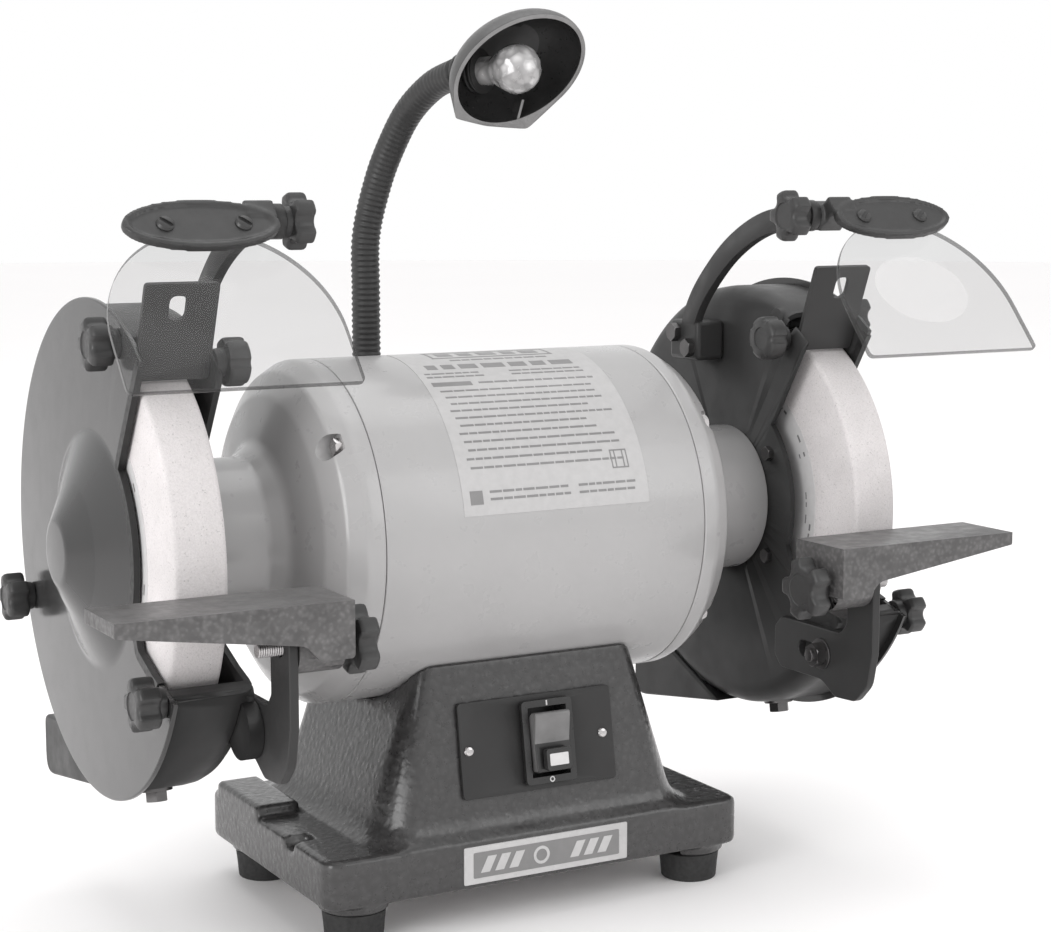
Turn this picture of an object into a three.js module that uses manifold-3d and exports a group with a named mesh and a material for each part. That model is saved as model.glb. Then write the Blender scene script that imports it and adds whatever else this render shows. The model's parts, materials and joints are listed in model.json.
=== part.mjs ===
// Bench grinder with two wheels, adjustable tool rests, eye shields and a gooseneck work lamp.
// Millimetres, +Z up. X runs along the spindle, -Y faces the person using the machine.
// Pieces are drawn in the spindle's own frame, with the spindle axis on X and the middle of the
// motor at zero. The outer group then stands the rubber feet on z = 0.

import * as THREE from 'three';
import { ConvexGeometry } from 'three/addons/geometries/ConvexGeometry.js';
import { mergeVertices } from 'three/addons/utils/BufferGeometryUtils.js';
import Module from 'manifold-3d';

const wasm = await Module();
wasm.setup();

// ---------------------------------------------------------------- driving dimensions

const GAP = 0.3;                 // left between two pieces that touch
const SHAFT_HEIGHT = 192;        // spindle axis above the bench
const SHAFT_SETBACK = 21;        // moves the spindle back so that the box is centred on Y

const MOTOR_R = 87;
const MOTOR_HALF = 90;           // half the length of the motor shell
const SHELL_WALL = 7;
const NECK_R = 40;
const NECK_END = 162.7;
const BEARING_X = 119;
const BEARING_W = 15;
const BEARING_R = 26;
const SHAFT_R = 12;
const ARBOR_R = 7.6;             // 5/8 inch spindle end, less the running gap
const ARBOR_SHOULDER = 168;
const ARBOR_END = 219;

const WHEEL_R = 101.6;           // 8 inch wheel
const WHEEL_W = 25.4;            // 1 inch wide
const WHEEL_X = 188;
const BORE_R = 8.1;
const FLANGE_R = 38;

const GUARD_IN = 163;            // inner wall of the guard
const GUARD_OUT = 202.5;
const GUARD_R = 117.5;             // outside of the band
const COVER_R = 121;
const GUARD_WALL = 3;
const COVER_FACE = 204.8;
const COVER_WALL = 2;
const POST_R = 110.5;            // circle that the three cover screws sit on
const POST_ANGLES = { top: 67, front: -30, rear: 201 };   // degrees up from straight ahead

const BASE_X = [-121, 117];
const BASE_FRONT = -83;
const BASE_BACK = 72;
const BASE_CORNER = 10;
const BASE_TOP = -147;
const BASE_BOTTOM = -172;
const PAD_BOTTOM = -177;
const FOOT_X = 98;
const FOOT_Y = [-62, 50];
const PEDESTAL = { bottomHalf: 88, topHalf: 60, bottomY: [-77, 61], topY: [-62, 55], top: -56 };
const CAST_WALL = 6;

const REST = { inner: 133.7, outer: 243.5, front: -145.5, back: -105.8, top: -7 };
const REST_PIVOT = { y: -128, z: -29 };
const BRACKET_X = [158, 162.6];
const BRACKET_STUD = { y: -96, z: -72 };
const BRACKET_TRAVEL = 15;

const DEFLECTOR = { y: -66, z: 108, lean: 21.4, inner: 166.4, outer: 202, half: 24, thick: 2.4 };
const DEFLECTOR_STUD = { y: -53, z: 92 };
const DEFLECTOR_TRAVEL = 8;

const SHIELD_PIVOT = { y: -93.4, z: 157.5 };
const SHIELD_LEAN = 40.5;        // pane leans this far from upright
const ARM_X = [144.5, 149.5];
const PANE = { half: 53, side: 28, arch: 56, thick: 3, foot: [-163, 91] };   // foot: its lower edge

const NECK_AT = { x: -12.5, y: 100 };
const LAMP_TUBE_R = 8;
const LAMP_PIVOT_Z = 109;
const LAMP_END = new THREE.Vector3(12, 35, 232);
const LAMP_HEAD = new THREE.Vector3(29, 0, 233);

const PANEL_Z = -105;            // height of the middle of the switch panel

const ROUND = 40;                // sides of a large circle
const SMALL = 16;                // sides of a small one

// ---------------------------------------------------------------- materials

function material(color, roughness, metalness = 0) {
  return new THREE.MeshStandardMaterial({ color, roughness, metalness });
}

const MATERIALS = {
  lightPaint: material(0xb4b4b4, 0.35),
  darkPaint: material(0x3c3a3b, 0.5),
  coverPaint: material(0x6c6a6b, 0.35),
  hammered: material(0x2b292a, 0.45),
  castIron: material(0x4f4d4e, 0.55),
  blackPlastic: material(0x1e1d1e, 0.4),
  greyPlastic: material(0x9a9a9a, 0.45),
  clearPlastic: material(0xe4e8e8, 0.1),
  abrasive: material(0xe9e8e6, 0.95),
  steel: material(0x9b9c9e, 0.35, 1),
  copper: material(0xa4663a, 0.4, 1),
  aluminium: material(0xb5b6b8, 0.4, 1),
  rubber: material(0x161616, 0.9),
  glass: material(0xe8e6de, 0.1),
};

// ---------------------------------------------------------------- solids and booleans

// A closed mesh with shared corners, no slivers of zero area, and faces that point out.
function closed(geometry) {
  const bare = geometry.index ? geometry.clone() : geometry;
  bare.deleteAttribute('normal');
  bare.deleteAttribute('uv');
  const merged = mergeVertices(bare, 1e-4);
  const position = merged.getAttribute('position');
  const index = merged.getIndex().array;
  const kept = [];
  const [a, b, c] = [new THREE.Vector3(), new THREE.Vector3(), new THREE.Vector3()];
  let volume = 0;
  for (let i = 0; i < index.length; i += 3) {
    const [p, q, r] = [index[i], index[i + 1], index[i + 2]];
    if (p === q || q === r || r === p) continue;
    a.fromBufferAttribute(position, p);
    b.fromBufferAttribute(position, q);
    c.fromBufferAttribute(position, r);
    volume += a.dot(b.cross(c));
    kept.push(p, q, r);
  }
  if (volume < 0) kept.reverse();
  merged.setIndex(kept);
  return merged;
}

function solid(geometry) {
  const mesh = closed(geometry);
  return new wasm.Manifold(new wasm.Mesh({
    numProp: 3,
    vertProperties: new Float32Array(mesh.getAttribute('position').array),
    triVerts: new Uint32Array(mesh.getIndex().array),
  }));
}

function join(...solids) {
  return solids.reduce((whole, next) => whole.add(next));
}

function cut(body, ...tools) {
  return tools.reduce((left, tool) => left.subtract(tool), body);
}

function geometryOf(body) {
  const mesh = body.getMesh();
  const geometry = new THREE.BufferGeometry();
  geometry.setAttribute('position', new THREE.BufferAttribute(mesh.vertProperties, 3));
  geometry.setIndex(new THREE.BufferAttribute(mesh.triVerts, 1));
  geometry.computeVertexNormals();
  return geometry;
}

// ---------------------------------------------------------------- basic shapes

function box([x0, x1], [y0, y1], [z0, z1]) {
  const geometry = new THREE.BoxGeometry(x1 - x0, y1 - y0, z1 - z0);
  geometry.translate((x0 + x1) / 2, (y0 + y1) / 2, (z0 + z1) / 2);
  return solid(geometry);
}

function rodX(radius, [x0, x1], y, z, sides = SMALL) {
  const geometry = new THREE.CylinderGeometry(radius, radius, x1 - x0, sides);
  geometry.rotateZ(-Math.PI / 2);
  geometry.translate((x0 + x1) / 2, y, z);
  return solid(geometry);
}

function rodY(radius, [y0, y1], x, z, sides = SMALL) {
  const geometry = new THREE.CylinderGeometry(radius, radius, y1 - y0, sides);
  geometry.translate(x, (y0 + y1) / 2, z);
  return solid(geometry);
}

function rodZ(radius, [z0, z1], x, y, sides = SMALL) {
  const geometry = new THREE.CylinderGeometry(radius, radius, z1 - z0, sides);
  geometry.rotateX(Math.PI / 2);
  geometry.translate(x, y, (z0 + z1) / 2);
  return solid(geometry);
}

// A rod from one point to another.
function rodBetween(radius, from, to, sides = SMALL) {
  const along = new THREE.Vector3().subVectors(to, from);
  const geometry = new THREE.CylinderGeometry(radius, radius, along.length(), sides);
  const up = new THREE.Vector3(0, 1, 0);
  geometry.applyQuaternion(new THREE.Quaternion().setFromUnitVectors(up, along.clone().normalize()));
  geometry.translate(...new THREE.Vector3().addVectors(from, to).multiplyScalar(0.5).toArray());
  return solid(geometry);
}

// Revolves a profile of [radius, x] points about the X axis.
function turned(profile, sides = ROUND) {
  const points = profile.map(([radius, x]) => new THREE.Vector2(radius, x));
  const geometry = new THREE.LatheGeometry(points, sides);
  geometry.rotateZ(-Math.PI / 2);
  return solid(geometry);
}

// A turned ring whose profile closes on itself.
function turnedRing(profile, sides = ROUND) {
  return turned([...profile, profile[0]], sides);
}

function turnedUpright(profile, sides = SMALL) {
  const points = profile.map(([radius, z]) => new THREE.Vector2(radius, z));
  const geometry = new THREE.LatheGeometry(points, sides);
  geometry.rotateX(Math.PI / 2);
  return solid(geometry);
}

// Extrudes an outline of [y, z] points along X.
function plateX(outline, [x0, x1]) {
  const shape = new THREE.Shape(outline.map(([y, z]) => new THREE.Vector2(y, z)));
  const geometry = new THREE.ExtrudeGeometry(shape, { depth: x1 - x0, bevelEnabled: false });
  const [yAxis, zAxis, xAxis] = [[0, 1, 0], [0, 0, 1], [1, 0, 0]].map((v) => new THREE.Vector3(...v));
  geometry.applyMatrix4(new THREE.Matrix4().makeBasis(yAxis, zAxis, xAxis));
  geometry.translate(x0, 0, 0);
  return solid(geometry);
}

// Extrudes a three.js shape drawn in X and Y from z0 to z1.
function plateZ(shape, [z0, z1], curveSegments = 6) {
  const geometry = new THREE.ExtrudeGeometry(shape, { depth: z1 - z0, bevelEnabled: false, curveSegments });
  geometry.translate(0, 0, z0);
  return solid(geometry);
}

function roundedRect([x0, x1], [y0, y1], radius) {
  const shape = new THREE.Shape();
  const quarter = Math.PI / 2;
  shape.absarc(x1 - radius, y0 + radius, radius, -quarter, 0);
  shape.absarc(x1 - radius, y1 - radius, radius, 0, quarter);
  shape.absarc(x0 + radius, y1 - radius, radius, quarter, 2 * quarter);
  shape.absarc(x0 + radius, y0 + radius, radius, 2 * quarter, 3 * quarter);
  shape.closePath();
  return shape;
}

// Points of an arc in [y, z]. The angle is 0 straight ahead (-Y) and grows upwards.
function arcAhead(radius, from, to, steps, y = 0, z = 0) {
  const points = [];
  for (let i = 0; i <= steps; i += 1) {
    const angle = THREE.MathUtils.degToRad(from + ((to - from) * i) / steps);
    points.push([y - radius * Math.cos(angle), z + radius * Math.sin(angle)]);
  }
  return points;
}

function postPlace(angle) {
  return arcAhead(POST_R, angle, angle, 1)[0];
}

// The body between four corners at one height and four at another.
function frustum(bottomHalf, bottomY, z0, topHalf, topY, z1) {
  const geometry = new THREE.BoxGeometry(1, 1, 1);
  const position = geometry.getAttribute('position');
  for (let i = 0; i < position.count; i += 1) {
    const isTop = position.getZ(i) > 0;
    const half = isTop ? topHalf : bottomHalf;
    const span = isTop ? topY : bottomY;
    position.setXYZ(
      i,
      position.getX(i) > 0 ? half : -half,
      position.getY(i) > 0 ? span[1] : span[0],
      isTop ? z1 : z0,
    );
  }
  return solid(geometry);
}

// ---------------------------------------------------------------- scene graph helpers

const grinder = new THREE.Group();
grinder.position.set(0, SHAFT_SETBACK, SHAFT_HEIGHT);

function addMesh(name, body, finish, parent = grinder) {
  const mesh = new THREE.Mesh(geometryOf(body), finish);
  mesh.name = name;
  parent.add(mesh);
  return mesh;
}

// Draws a piece once on the right (+X) and again, mirrored, on the left.
function addPair(name, body, finish) {
  addMesh(`${name}_right`, body, finish);
  addMesh(`${name}_left`, body.mirror([1, 0, 0]), finish);
}

// ---------------------------------------------------------------- base

// Half-width and Y span of the pedestal at a height, drawn in by a wall.
function pedestalAt(z, wall) {
  const t = (z - BASE_TOP) / (PEDESTAL.top - BASE_TOP);
  const mix = (a, b) => a + (b - a) * t;
  return {
    half: mix(PEDESTAL.bottomHalf, PEDESTAL.topHalf) - wall,
    span: [
      mix(PEDESTAL.bottomY[0], PEDESTAL.topY[0]) + wall,
      mix(PEDESTAL.bottomY[1], PEDESTAL.topY[1]) - wall,
    ],
  };
}

function pedestal(z0, z1, wall) {
  const low = pedestalAt(z0, wall);
  const high = pedestalAt(z1, wall);
  return frustum(low.half, low.span, z0, high.half, high.span, z1);
}

function footPlaces() {
  const places = [];
  for (const [row, y] of [['front', FOOT_Y[0]], ['rear', FOOT_Y[1]]]) {
    for (const [side, x] of [['left', -FOOT_X], ['right', FOOT_X]]) {
      places.push({ name: `foot_${row}_${side}`, x, y });
    }
  }
  return places;
}

const CAVITY_TOP = -97;
const LEDGE = { inner: 24, front: 5, rise: 6 };   // raised rear part of the flange, at each end
const LAMP_SOCKET = { low: -130, high: -106, radius: 14 };
const GLAND = { x: -70, z: -159.5, shank: 6 };

// The front of the pedestal leans back, so the switch is drawn in a frame that leans with it.
const PANEL_LEAN = Math.atan2(
  PEDESTAL.topY[0] - PEDESTAL.bottomY[0],
  PEDESTAL.top - BASE_TOP,
);
const PANEL_Y = pedestalAt(PANEL_Z, 0).span[0];
const PANEL_SHIFT = new THREE.Matrix4()
  .makeTranslation(0, PANEL_Y, PANEL_Z)
  .multiply(new THREE.Matrix4().makeRotationX(-PANEL_LEAN));

function onPanel(body) {
  return body.transform([...PANEL_SHIFT.elements]);
}

const SWITCH = { x: 5, half: 14.5, high: 21, well: [11, 17.5], depth: 28 };

function baseCasting() {
  const flange = plateZ(roundedRect(BASE_X, [BASE_FRONT, BASE_BACK], BASE_CORNER),
    [BASE_BOTTOM, BASE_TOP]);
  const pad = (x, y) => rodZ(18, [PAD_BOTTOM, BASE_TOP - 1], x, y, 24);
  const pads = footPlaces().map(({ x, y }) => pad(x, y));
  const [left, right] = BASE_X;
  const ledges = [[left, left + LEDGE.inner], [right - LEDGE.inner, right]].map((span) => box(
    span,
    [LEDGE.front, BASE_BACK - BASE_CORNER],
    [BASE_TOP - 1, BASE_TOP + LEDGE.rise],
  ));
  const inner = CAST_WALL + 4;
  const pocket = box(
    [left + inner, right - inner],
    [BASE_FRONT + inner, BASE_BACK - inner],
    [PAD_BOTTOM - 1, BASE_TOP - CAST_WALL],
  );
  const hollow = pedestal(BASE_TOP - CAST_WALL - 1, CAVITY_TOP, CAST_WALL);
  const saddle = rodX(MOTOR_R + GAP, [-130, 130], 0, 0, ROUND);
  const switchHole = onPanel(box(
    [SWITCH.x - SWITCH.half + 2, SWITCH.x + SWITCH.half - 2],
    [-8, SWITCH.depth + 1],
    [-SWITCH.high + 2, SWITCH.high - 2],
  ));
  const arm = box([NECK_AT.x - 9, NECK_AT.x + 9], [50, NECK_AT.y], [-128, -114]);
  const { low, high, radius } = LAMP_SOCKET;
  const socket = rodZ(radius, [low, high], NECK_AT.x, NECK_AT.y, 24);
  const socketBore = rodZ(LAMP_TUBE_R + 0.5, [low + 4, high + 1], NECK_AT.x, NECK_AT.y);
  const glandHole = rodY(GLAND.shank + 0.4, [40, 80], GLAND.x, GLAND.z);
  const shell = cut(join(flange, pedestal(BASE_TOP - 1, PEDESTAL.top, 0), ...ledges), pocket);
  return cut(join(shell, ...pads, arm, socket), hollow, saddle, switchHole, socketBore, glandHole);
}

function bottomPlate() {
  const inset = CAST_WALL + 4 + 0.5;
  const sheet = box(
    [BASE_X[0] + inset, BASE_X[1] - inset],
    [BASE_FRONT + inset, BASE_BACK - inset],
    [BASE_BOTTOM + 0.5, BASE_BOTTOM + 2.5],
  );
  const corners = footPlaces().map(({ x, y }) => rodZ(18.6, [-180, -160], x, y, 24));
  return cut(sheet, ...corners);
}

function foot() {
  const top = PAD_BOTTOM - GAP + SHAFT_HEIGHT;
  return turnedUpright([[0, 0], [13, 0], [14.5, 1.5], [16, top], [0, top]]);
}

addMesh('base_casting', baseCasting(), MATERIALS.hammered);
addMesh('bottom_plate', bottomPlate(), MATERIALS.steel);
for (const { name, x, y } of footPlaces()) {
  addMesh(name, foot(), MATERIALS.rubber).position.set(x, y, -SHAFT_HEIGHT);
}

// ---------------------------------------------------------------- switch and wiring

const PLATE_THICK = 2;

function switchPlate() {
  const sheet = box([-44, 44], [-PLATE_THICK - GAP, -GAP], [-24, 24]);
  const hole = box(
    [SWITCH.x - SWITCH.half + 2, SWITCH.x + SWITCH.half - 2],
    [-5, 5],
    [-SWITCH.high + 2, SWITCH.high - 2],
  );
  return onPanel(cut(sheet, hole));
}

function switchHousing() {
  const face = -PLATE_THICK - 2 * GAP;
  const bezel = box(
    [SWITCH.x - SWITCH.half, SWITCH.x + SWITCH.half],
    [face - 2.5, face],
    [-SWITCH.high, SWITCH.high],
  );
  const can = box(
    [SWITCH.x - SWITCH.half + 2.6, SWITCH.x + SWITCH.half - 2.6],
    [face - 1, SWITCH.depth],
    [-SWITCH.high + 2.6, SWITCH.high - 2.6],
  );
  const [halfWide, halfHigh] = SWITCH.well;
  const well = box(
    [SWITCH.x - halfWide, SWITCH.x + halfWide],
    [face - 5, 8],
    [-halfHigh, halfHigh],
  );
  return onPanel(cut(join(bezel, can), well));
}

// A rocker whose two faces meet in a shallow valley.
function switchPaddle() {
  const [halfWide, halfHigh] = SWITCH.well;
  const reach = halfHigh - 2.5;
  const outline = [[5, -8], [5, 8], [-7, reach], [-12, reach], [-8, 0], [-9.5, -reach], [-5, -reach]];
  const rocker = plateX(outline, [SWITCH.x - halfWide + 1, SWITCH.x + halfWide - 1]);
  const slot = box([SWITCH.x - 5.5, SWITCH.x + 5.5], [-20, -3], [-11.5, -4.5]);
  return onPanel(cut(rocker, slot));
}

function lockoutKey() {
  const tongue = box([SWITCH.x - 5.1, SWITCH.x + 5.1], [-10, -3.5], [-11.1, -4.9]);
  const grip = box([SWITCH.x - 7, SWITCH.x + 7], [-14, -10.4], [-14, -3]);
  return onPanel(join(tongue, grip, box([SWITCH.x - 5, SWITCH.x + 5], [-11, -9], [-11, -5])));
}

function cordGland() {
  const start = BASE_BACK + GAP;
  const profile = [[4, start - 14], [GLAND.shank, start - 14], [GLAND.shank, start], [10, start],
    [10, start + 5], [7, start + 6], [5.2, start + 26], [4, start + 26]];
  const boot = turnedRing(profile, SMALL);
  return boot.rotate([0, 0, 90]).translate([GLAND.x, 0, GLAND.z]);
}

addMesh('switch_plate', switchPlate(), MATERIALS.darkPaint);
addMesh('switch_housing', switchHousing(), MATERIALS.blackPlastic);
addMesh('switch_paddle', switchPaddle(), MATERIALS.greyPlastic);
addMesh('lockout_key', lockoutKey(), MATERIALS.blackPlastic);
addMesh('capacitor', rodX(18, [-30, 40], 26, -135, 24), MATERIALS.aluminium);
addMesh('cord_gland', cordGland(), MATERIALS.rubber);

// ---------------------------------------------------------------- motor

function motorShell() {
  const end = MOTOR_HALF - GAP / 2;
  const inner = MOTOR_R - SHELL_WALL;
  return turnedRing([[MOTOR_R, -end], [MOTOR_R, end], [inner, end], [inner, -end]]);
}

function endBell() {
  const start = MOTOR_HALF + GAP / 2;
  const shoulder = BEARING_X + BEARING_W + GAP;
  return turnedRing([
    [MOTOR_R, start], [MOTOR_R, 97], [82, 106], [70, 114.5], [46, 120.5], [NECK_R, 130],
    [NECK_R, NECK_END], [34, NECK_END], [34, shoulder + 4], [14, shoulder + 4], [14, shoulder],
    [BEARING_R + GAP, shoulder], [BEARING_R + GAP, 112], [62, 110], [79, 98], [80, start],
  ]);
}

function bearing() {
  return turnedRing([[SHAFT_R + GAP, BEARING_X], [BEARING_R, BEARING_X],
    [BEARING_R, BEARING_X + BEARING_W], [SHAFT_R + GAP, BEARING_X + BEARING_W]], 24);
}

// Laminated core with a winding head standing out at each end.
function stator() {
  const outer = MOTOR_R - SHELL_WALL - GAP;
  const [core, end] = [32, 56];
  return turnedRing([[outer, -core], [outer, core], [72, core], [70, end], [52, end], [49, core],
    [49, -core], [52, -end], [70, -end], [72, -core]], 24);
}

function rotor() {
  const half = 34;
  return turnedRing([[14 + GAP, -half], [47.5, -half], [47.5, half], [14 + GAP, half]], 24);
}

function spindleShaft() {
  return turned([[0, -ARBOR_END], [ARBOR_R - 1, -ARBOR_END], [ARBOR_R, -ARBOR_END + 1],
    [ARBOR_R, -ARBOR_SHOULDER], [SHAFT_R, -ARBOR_SHOULDER], [SHAFT_R, -70], [14, -68], [14, 68],
    [SHAFT_R, 70], [SHAFT_R, ARBOR_SHOULDER], [ARBOR_R, ARBOR_SHOULDER], [ARBOR_R, ARBOR_END - 1],
    [ARBOR_R - 1, ARBOR_END], [0, ARBOR_END]], 24);
}

addMesh('motor_shell', motorShell(), MATERIALS.lightPaint);
addPair('end_bell', endBell(), MATERIALS.lightPaint);
addPair('bearing', bearing(), MATERIALS.steel);
addMesh('stator', stator(), MATERIALS.copper);
addMesh('rotor', rotor(), MATERIALS.steel);
addMesh('spindle_shaft', spindleShaft(), MATERIALS.steel);

// ---------------------------------------------------------------- wheels and flanges

const WHEEL_FACES = [WHEEL_X - WHEEL_W / 2, WHEEL_X + WHEEL_W / 2];

function wheel() {
  const [x0, x1] = WHEEL_FACES;
  return turnedRing([[BORE_R, x0], [WHEEL_R - 2, x0], [WHEEL_R, x0 + 2], [WHEEL_R, x1 - 2],
    [WHEEL_R - 2, x1], [BORE_R, x1]], ROUND);
}

function flange(x0, x1, chamfer) {
  const ring = [[BORE_R, x0], [FLANGE_R, x0], [FLANGE_R, x1], [BORE_R, x1]];
  const edge = chamfer > 0 ? 2 : 1;
  ring[edge] = [FLANGE_R - 3, ring[edge][1]];
  return turnedRing(ring, 24);
}

const NUT = { start: 206.6, end: 214.6, radius: 13 };

addPair('wheel', wheel(), MATERIALS.abrasive);
addPair('inner_flange', flange(ARBOR_SHOULDER + GAP, WHEEL_FACES[0] - GAP, -1), MATERIALS.steel);
addPair('outer_flange', flange(WHEEL_FACES[1] + GAP, NUT.start - GAP, 1), MATERIALS.steel);
addPair('spindle_nut', cut(
  rodX(NUT.radius, [NUT.start, NUT.end], 0, 0, 6),
  rodX(ARBOR_R + 0.4, [NUT.start - 1, NUT.end + 1], 0, 0),
), MATERIALS.steel);

// ---------------------------------------------------------------- wheel guards

// The open front of the guard, as [y, z]: an arc round the hub and two straight edges.
const FRONT_OPENING = [
  [-95, 130], [-73, 94],
  ...arcAhead(60, 47, -20, 9),
  [-63, -38], [-82, -46], [-107, -54], [-150, -62], [-190, -62], [-190, 130],
];

// Dust port: a short square duct that leaves the bottom of the band towards the back.
const PORT_OUTER = [[8, -120], [97, -134], [97, -102], [60, -98]];
const PORT_INNER = [[20, -112], [98, -130.8], [98, -105.2], [55, -98]];

const PAN_CORNER = 6;            // chamfer between the pan's inner wall and its band

// A disc from x0 to x1 with a chamfered edge at its x0 end.
function dish(radius, corner, [x0, x1]) {
  return turned([[0, x0], [radius - corner, x0], [radius, x0 + corner], [radius, x1], [0, x1]]);
}

function guard() {
  const shellX = [GUARD_IN, GUARD_OUT];
  const insideX = [GUARD_IN + GUARD_WALL, GUARD_OUT + 1];
  const drum = dish(GUARD_R, PAN_CORNER, shellX);
  const room = dish(GUARD_R - GUARD_WALL, PAN_CORNER - 2, insideX);
  const port = plateX(PORT_OUTER, shellX);
  const duct = plateX(PORT_INNER, [GUARD_IN + GUARD_WALL, GUARD_OUT - GUARD_WALL]);
  const opening = plateX(FRONT_OPENING, [GUARD_IN - 1, GUARD_OUT + 1]);
  const bandEnd = plateX([...arcAhead(108, 50, 63.5, 2), ...arcAhead(130, 63.5, 50, 2)], insideX);
  const hub = rodX(22, [GUARD_IN - 1, GUARD_IN + 5], 0, 0);
  const { y, z } = BRACKET_STUD;
  const lug = join(
    rodX(14, [GUARD_IN, GUARD_IN + 7], y, z),
    rodX(3.5, [GUARD_IN - 12, GUARD_IN + 1], y, z),
  );
  const stud = DEFLECTOR_STUD;
  const slide = deflectorStep(DEFLECTOR_TRAVEL + 1);
  const back = deflectorStep(-1);
  const slot = plateX(slotOutline(
    [stud.y + back.y, stud.z + back.z],
    [stud.y + slide.y, stud.z + slide.z],
    3,
  ), [GUARD_IN - 1, GUARD_IN + 5]);
  const postX = [GUARD_IN + 1, GUARD_OUT];
  let body = cut(join(drum, port), room, duct, hub);
  for (const angle of Object.values(POST_ANGLES)) {
    body = body.add(rodX(5.5, postX, ...postPlace(angle), 12));
  }
  body = cut(body, opening, bandEnd, slot).add(lug);
  for (const angle of Object.values(POST_ANGLES)) {
    body = body.subtract(rodX(3.3, [GUARD_OUT - 14, GUARD_OUT + 1], ...postPlace(angle), 12));
  }
  return body;
}

// Outline of a slot with round ends between two [y, z] points.
function slotOutline([y0, z0], [y1, z1], radius) {
  const angle = THREE.MathUtils.radToDeg(Math.atan2(z1 - z0, y0 - y1));
  return [
    ...arcAhead(radius, angle - 90, angle + 90, 6, y1, z1),
    ...arcAhead(radius, angle + 90, angle + 270, 6, y0, z0),
  ];
}

// Pressed sheet cover with a rolled rim and a domed middle over the nut.
function guardCover() {
  const wall = COVER_WALL;
  const tip = 224;
  const back = COVER_FACE - wall;
  const outer = [[COVER_R, back], [COVER_R, 203.6], [119.8, COVER_FACE],
    [56, COVER_FACE], [34, 214.3], [14, tip], [0, tip]];
  const inner = [[0, tip - wall], [13.5, tip - wall], [33, 212.4], [55.4, back]];
  const sheet = turned([...outer, ...inner, outer[0]].reverse());
  let body = cut(sheet, plateX(FRONT_OPENING, [GUARD_OUT - 1, COVER_FACE + 2]));
  for (const angle of Object.values(POST_ANGLES)) {
    body = body.subtract(rodX(3.4, [GUARD_OUT, COVER_FACE + 2], ...postPlace(angle), 12));
  }
  return body;
}

// Five-lobed plastic knob. Its stud leads towards -X, its head starts at x = 0.
function knob(radius, thick, stub, studRadius, studLength) {
  const lobes = 5;
  const outline = [];
  const points = lobes * 4;
  for (let i = 0; i < points; i += 1) {
    const angle = (i / points) * 2 * Math.PI;
    const reach = radius * (0.9 + 0.1 * Math.cos(lobes * angle));
    outline.push([reach * Math.cos(angle), reach * Math.sin(angle)]);
  }
  return join(
    plateX(outline, [0, thick]),
    rodX(studRadius + 4, [-stub, 1], 0, 0, 10),
    rodX(studRadius, [-studLength, 1], 0, 0, 10),
  );
}

function addKnobPair(name, body, [x, y, z]) {
  const right = addMesh(`${name}_right`, body, MATERIALS.blackPlastic);
  right.position.set(x, y, z);
  const left = addMesh(`${name}_left`, body.mirror([1, 0, 0]), MATERIALS.blackPlastic);
  left.position.set(-x, y, z);
}

addPair('guard', guard(), MATERIALS.darkPaint);
addPair('guard_cover', guardCover(), MATERIALS.coverPaint);
const COVER_KNOB = { stub: 4, thick: 11, radius: 12.5 };
for (const [place, angle] of Object.entries(POST_ANGLES)) {
  const body = knob(COVER_KNOB.radius, COVER_KNOB.thick, COVER_KNOB.stub, 3, 20);
  const x = COVER_FACE + GAP + COVER_KNOB.stub;
  addKnobPair(`cover_knob_${place}`, body, [x, ...postPlace(angle)]);
}

// ---------------------------------------------------------------- spark deflectors

// A move along the leaning plate, away from the wheel.
function deflectorStep(distance) {
  const lean = THREE.MathUtils.degToRad(DEFLECTOR.lean);
  return { y: -distance * Math.sin(lean), z: distance * Math.cos(lean) };
}

function sparkDeflector() {
  const { y, z, lean, inner, outer, half, thick } = DEFLECTOR;
  const plate = box([inner, outer], [-thick / 2, thick / 2], [-half, half]);
  const window = box([outer - 21, outer - 12], [-5, 5], [8, 16]);
  const leaning = cut(plate, window).rotate([lean, 0, 0]).translate([0, y, z]);
  const ear = plateX([[-58, 86.5], [-48, 84], [-48.3, 92], [-50.5, 95], [-62, 97.5]], [inner, inner + 2.2]);
  const stud = DEFLECTOR_STUD;
  const hole = rodX(2.8, [inner - 1, inner + 4], stud.y, stud.z, 12);
  return cut(join(leaning, ear), hole);
}

addPair('spark_deflector', sparkDeflector(), MATERIALS.darkPaint);
const DEFLECTOR_KNOB_X = GUARD_IN - GAP - 5;
addKnobPair(
  'deflector_knob',
  knob(11.5, 11, 5, 2.4, 12.5).mirror([1, 0, 0]),
  [DEFLECTOR_KNOB_X, DEFLECTOR_STUD.y, DEFLECTOR_STUD.z],
);

// ---------------------------------------------------------------- tool rests

// A wedge that hangs out past both faces of the wheel, with a lug below its inner end.
function toolRest() {
  const { inner, outer, front, back, top } = REST;
  const { y, z } = REST_PIVOT;
  const wedge = new THREE.Shape([[inner, top], [outer, top], [outer, top - 6.5], [157, top - 18.5],
    [150, top - 26], [inner, top - 26]].reverse().map(([x, h]) => new THREE.Vector2(x, h)));
  const depth = back - front;
  const geometry = new THREE.ExtrudeGeometry(wedge, { depth, bevelEnabled: false });
  geometry.rotateX(Math.PI / 2);
  geometry.translate(0, back, 0);
  const lugX = [inner + 2, BRACKET_X[0] - GAP];
  const lug = join(
    rodX(12, lugX, y, z),
    box(lugX, [y - 12, y + 12], [z, top - 10]),
  );
  const pocket = rodX(13, [BRACKET_X[0] - GAP, BRACKET_X[1] + 0.7], y, z, 24);
  const bore = rodX(3.8, [inner - 5, BRACKET_X[1]], y, z, 16);
  return cut(join(solid(geometry), lug), pocket, bore);
}

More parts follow.
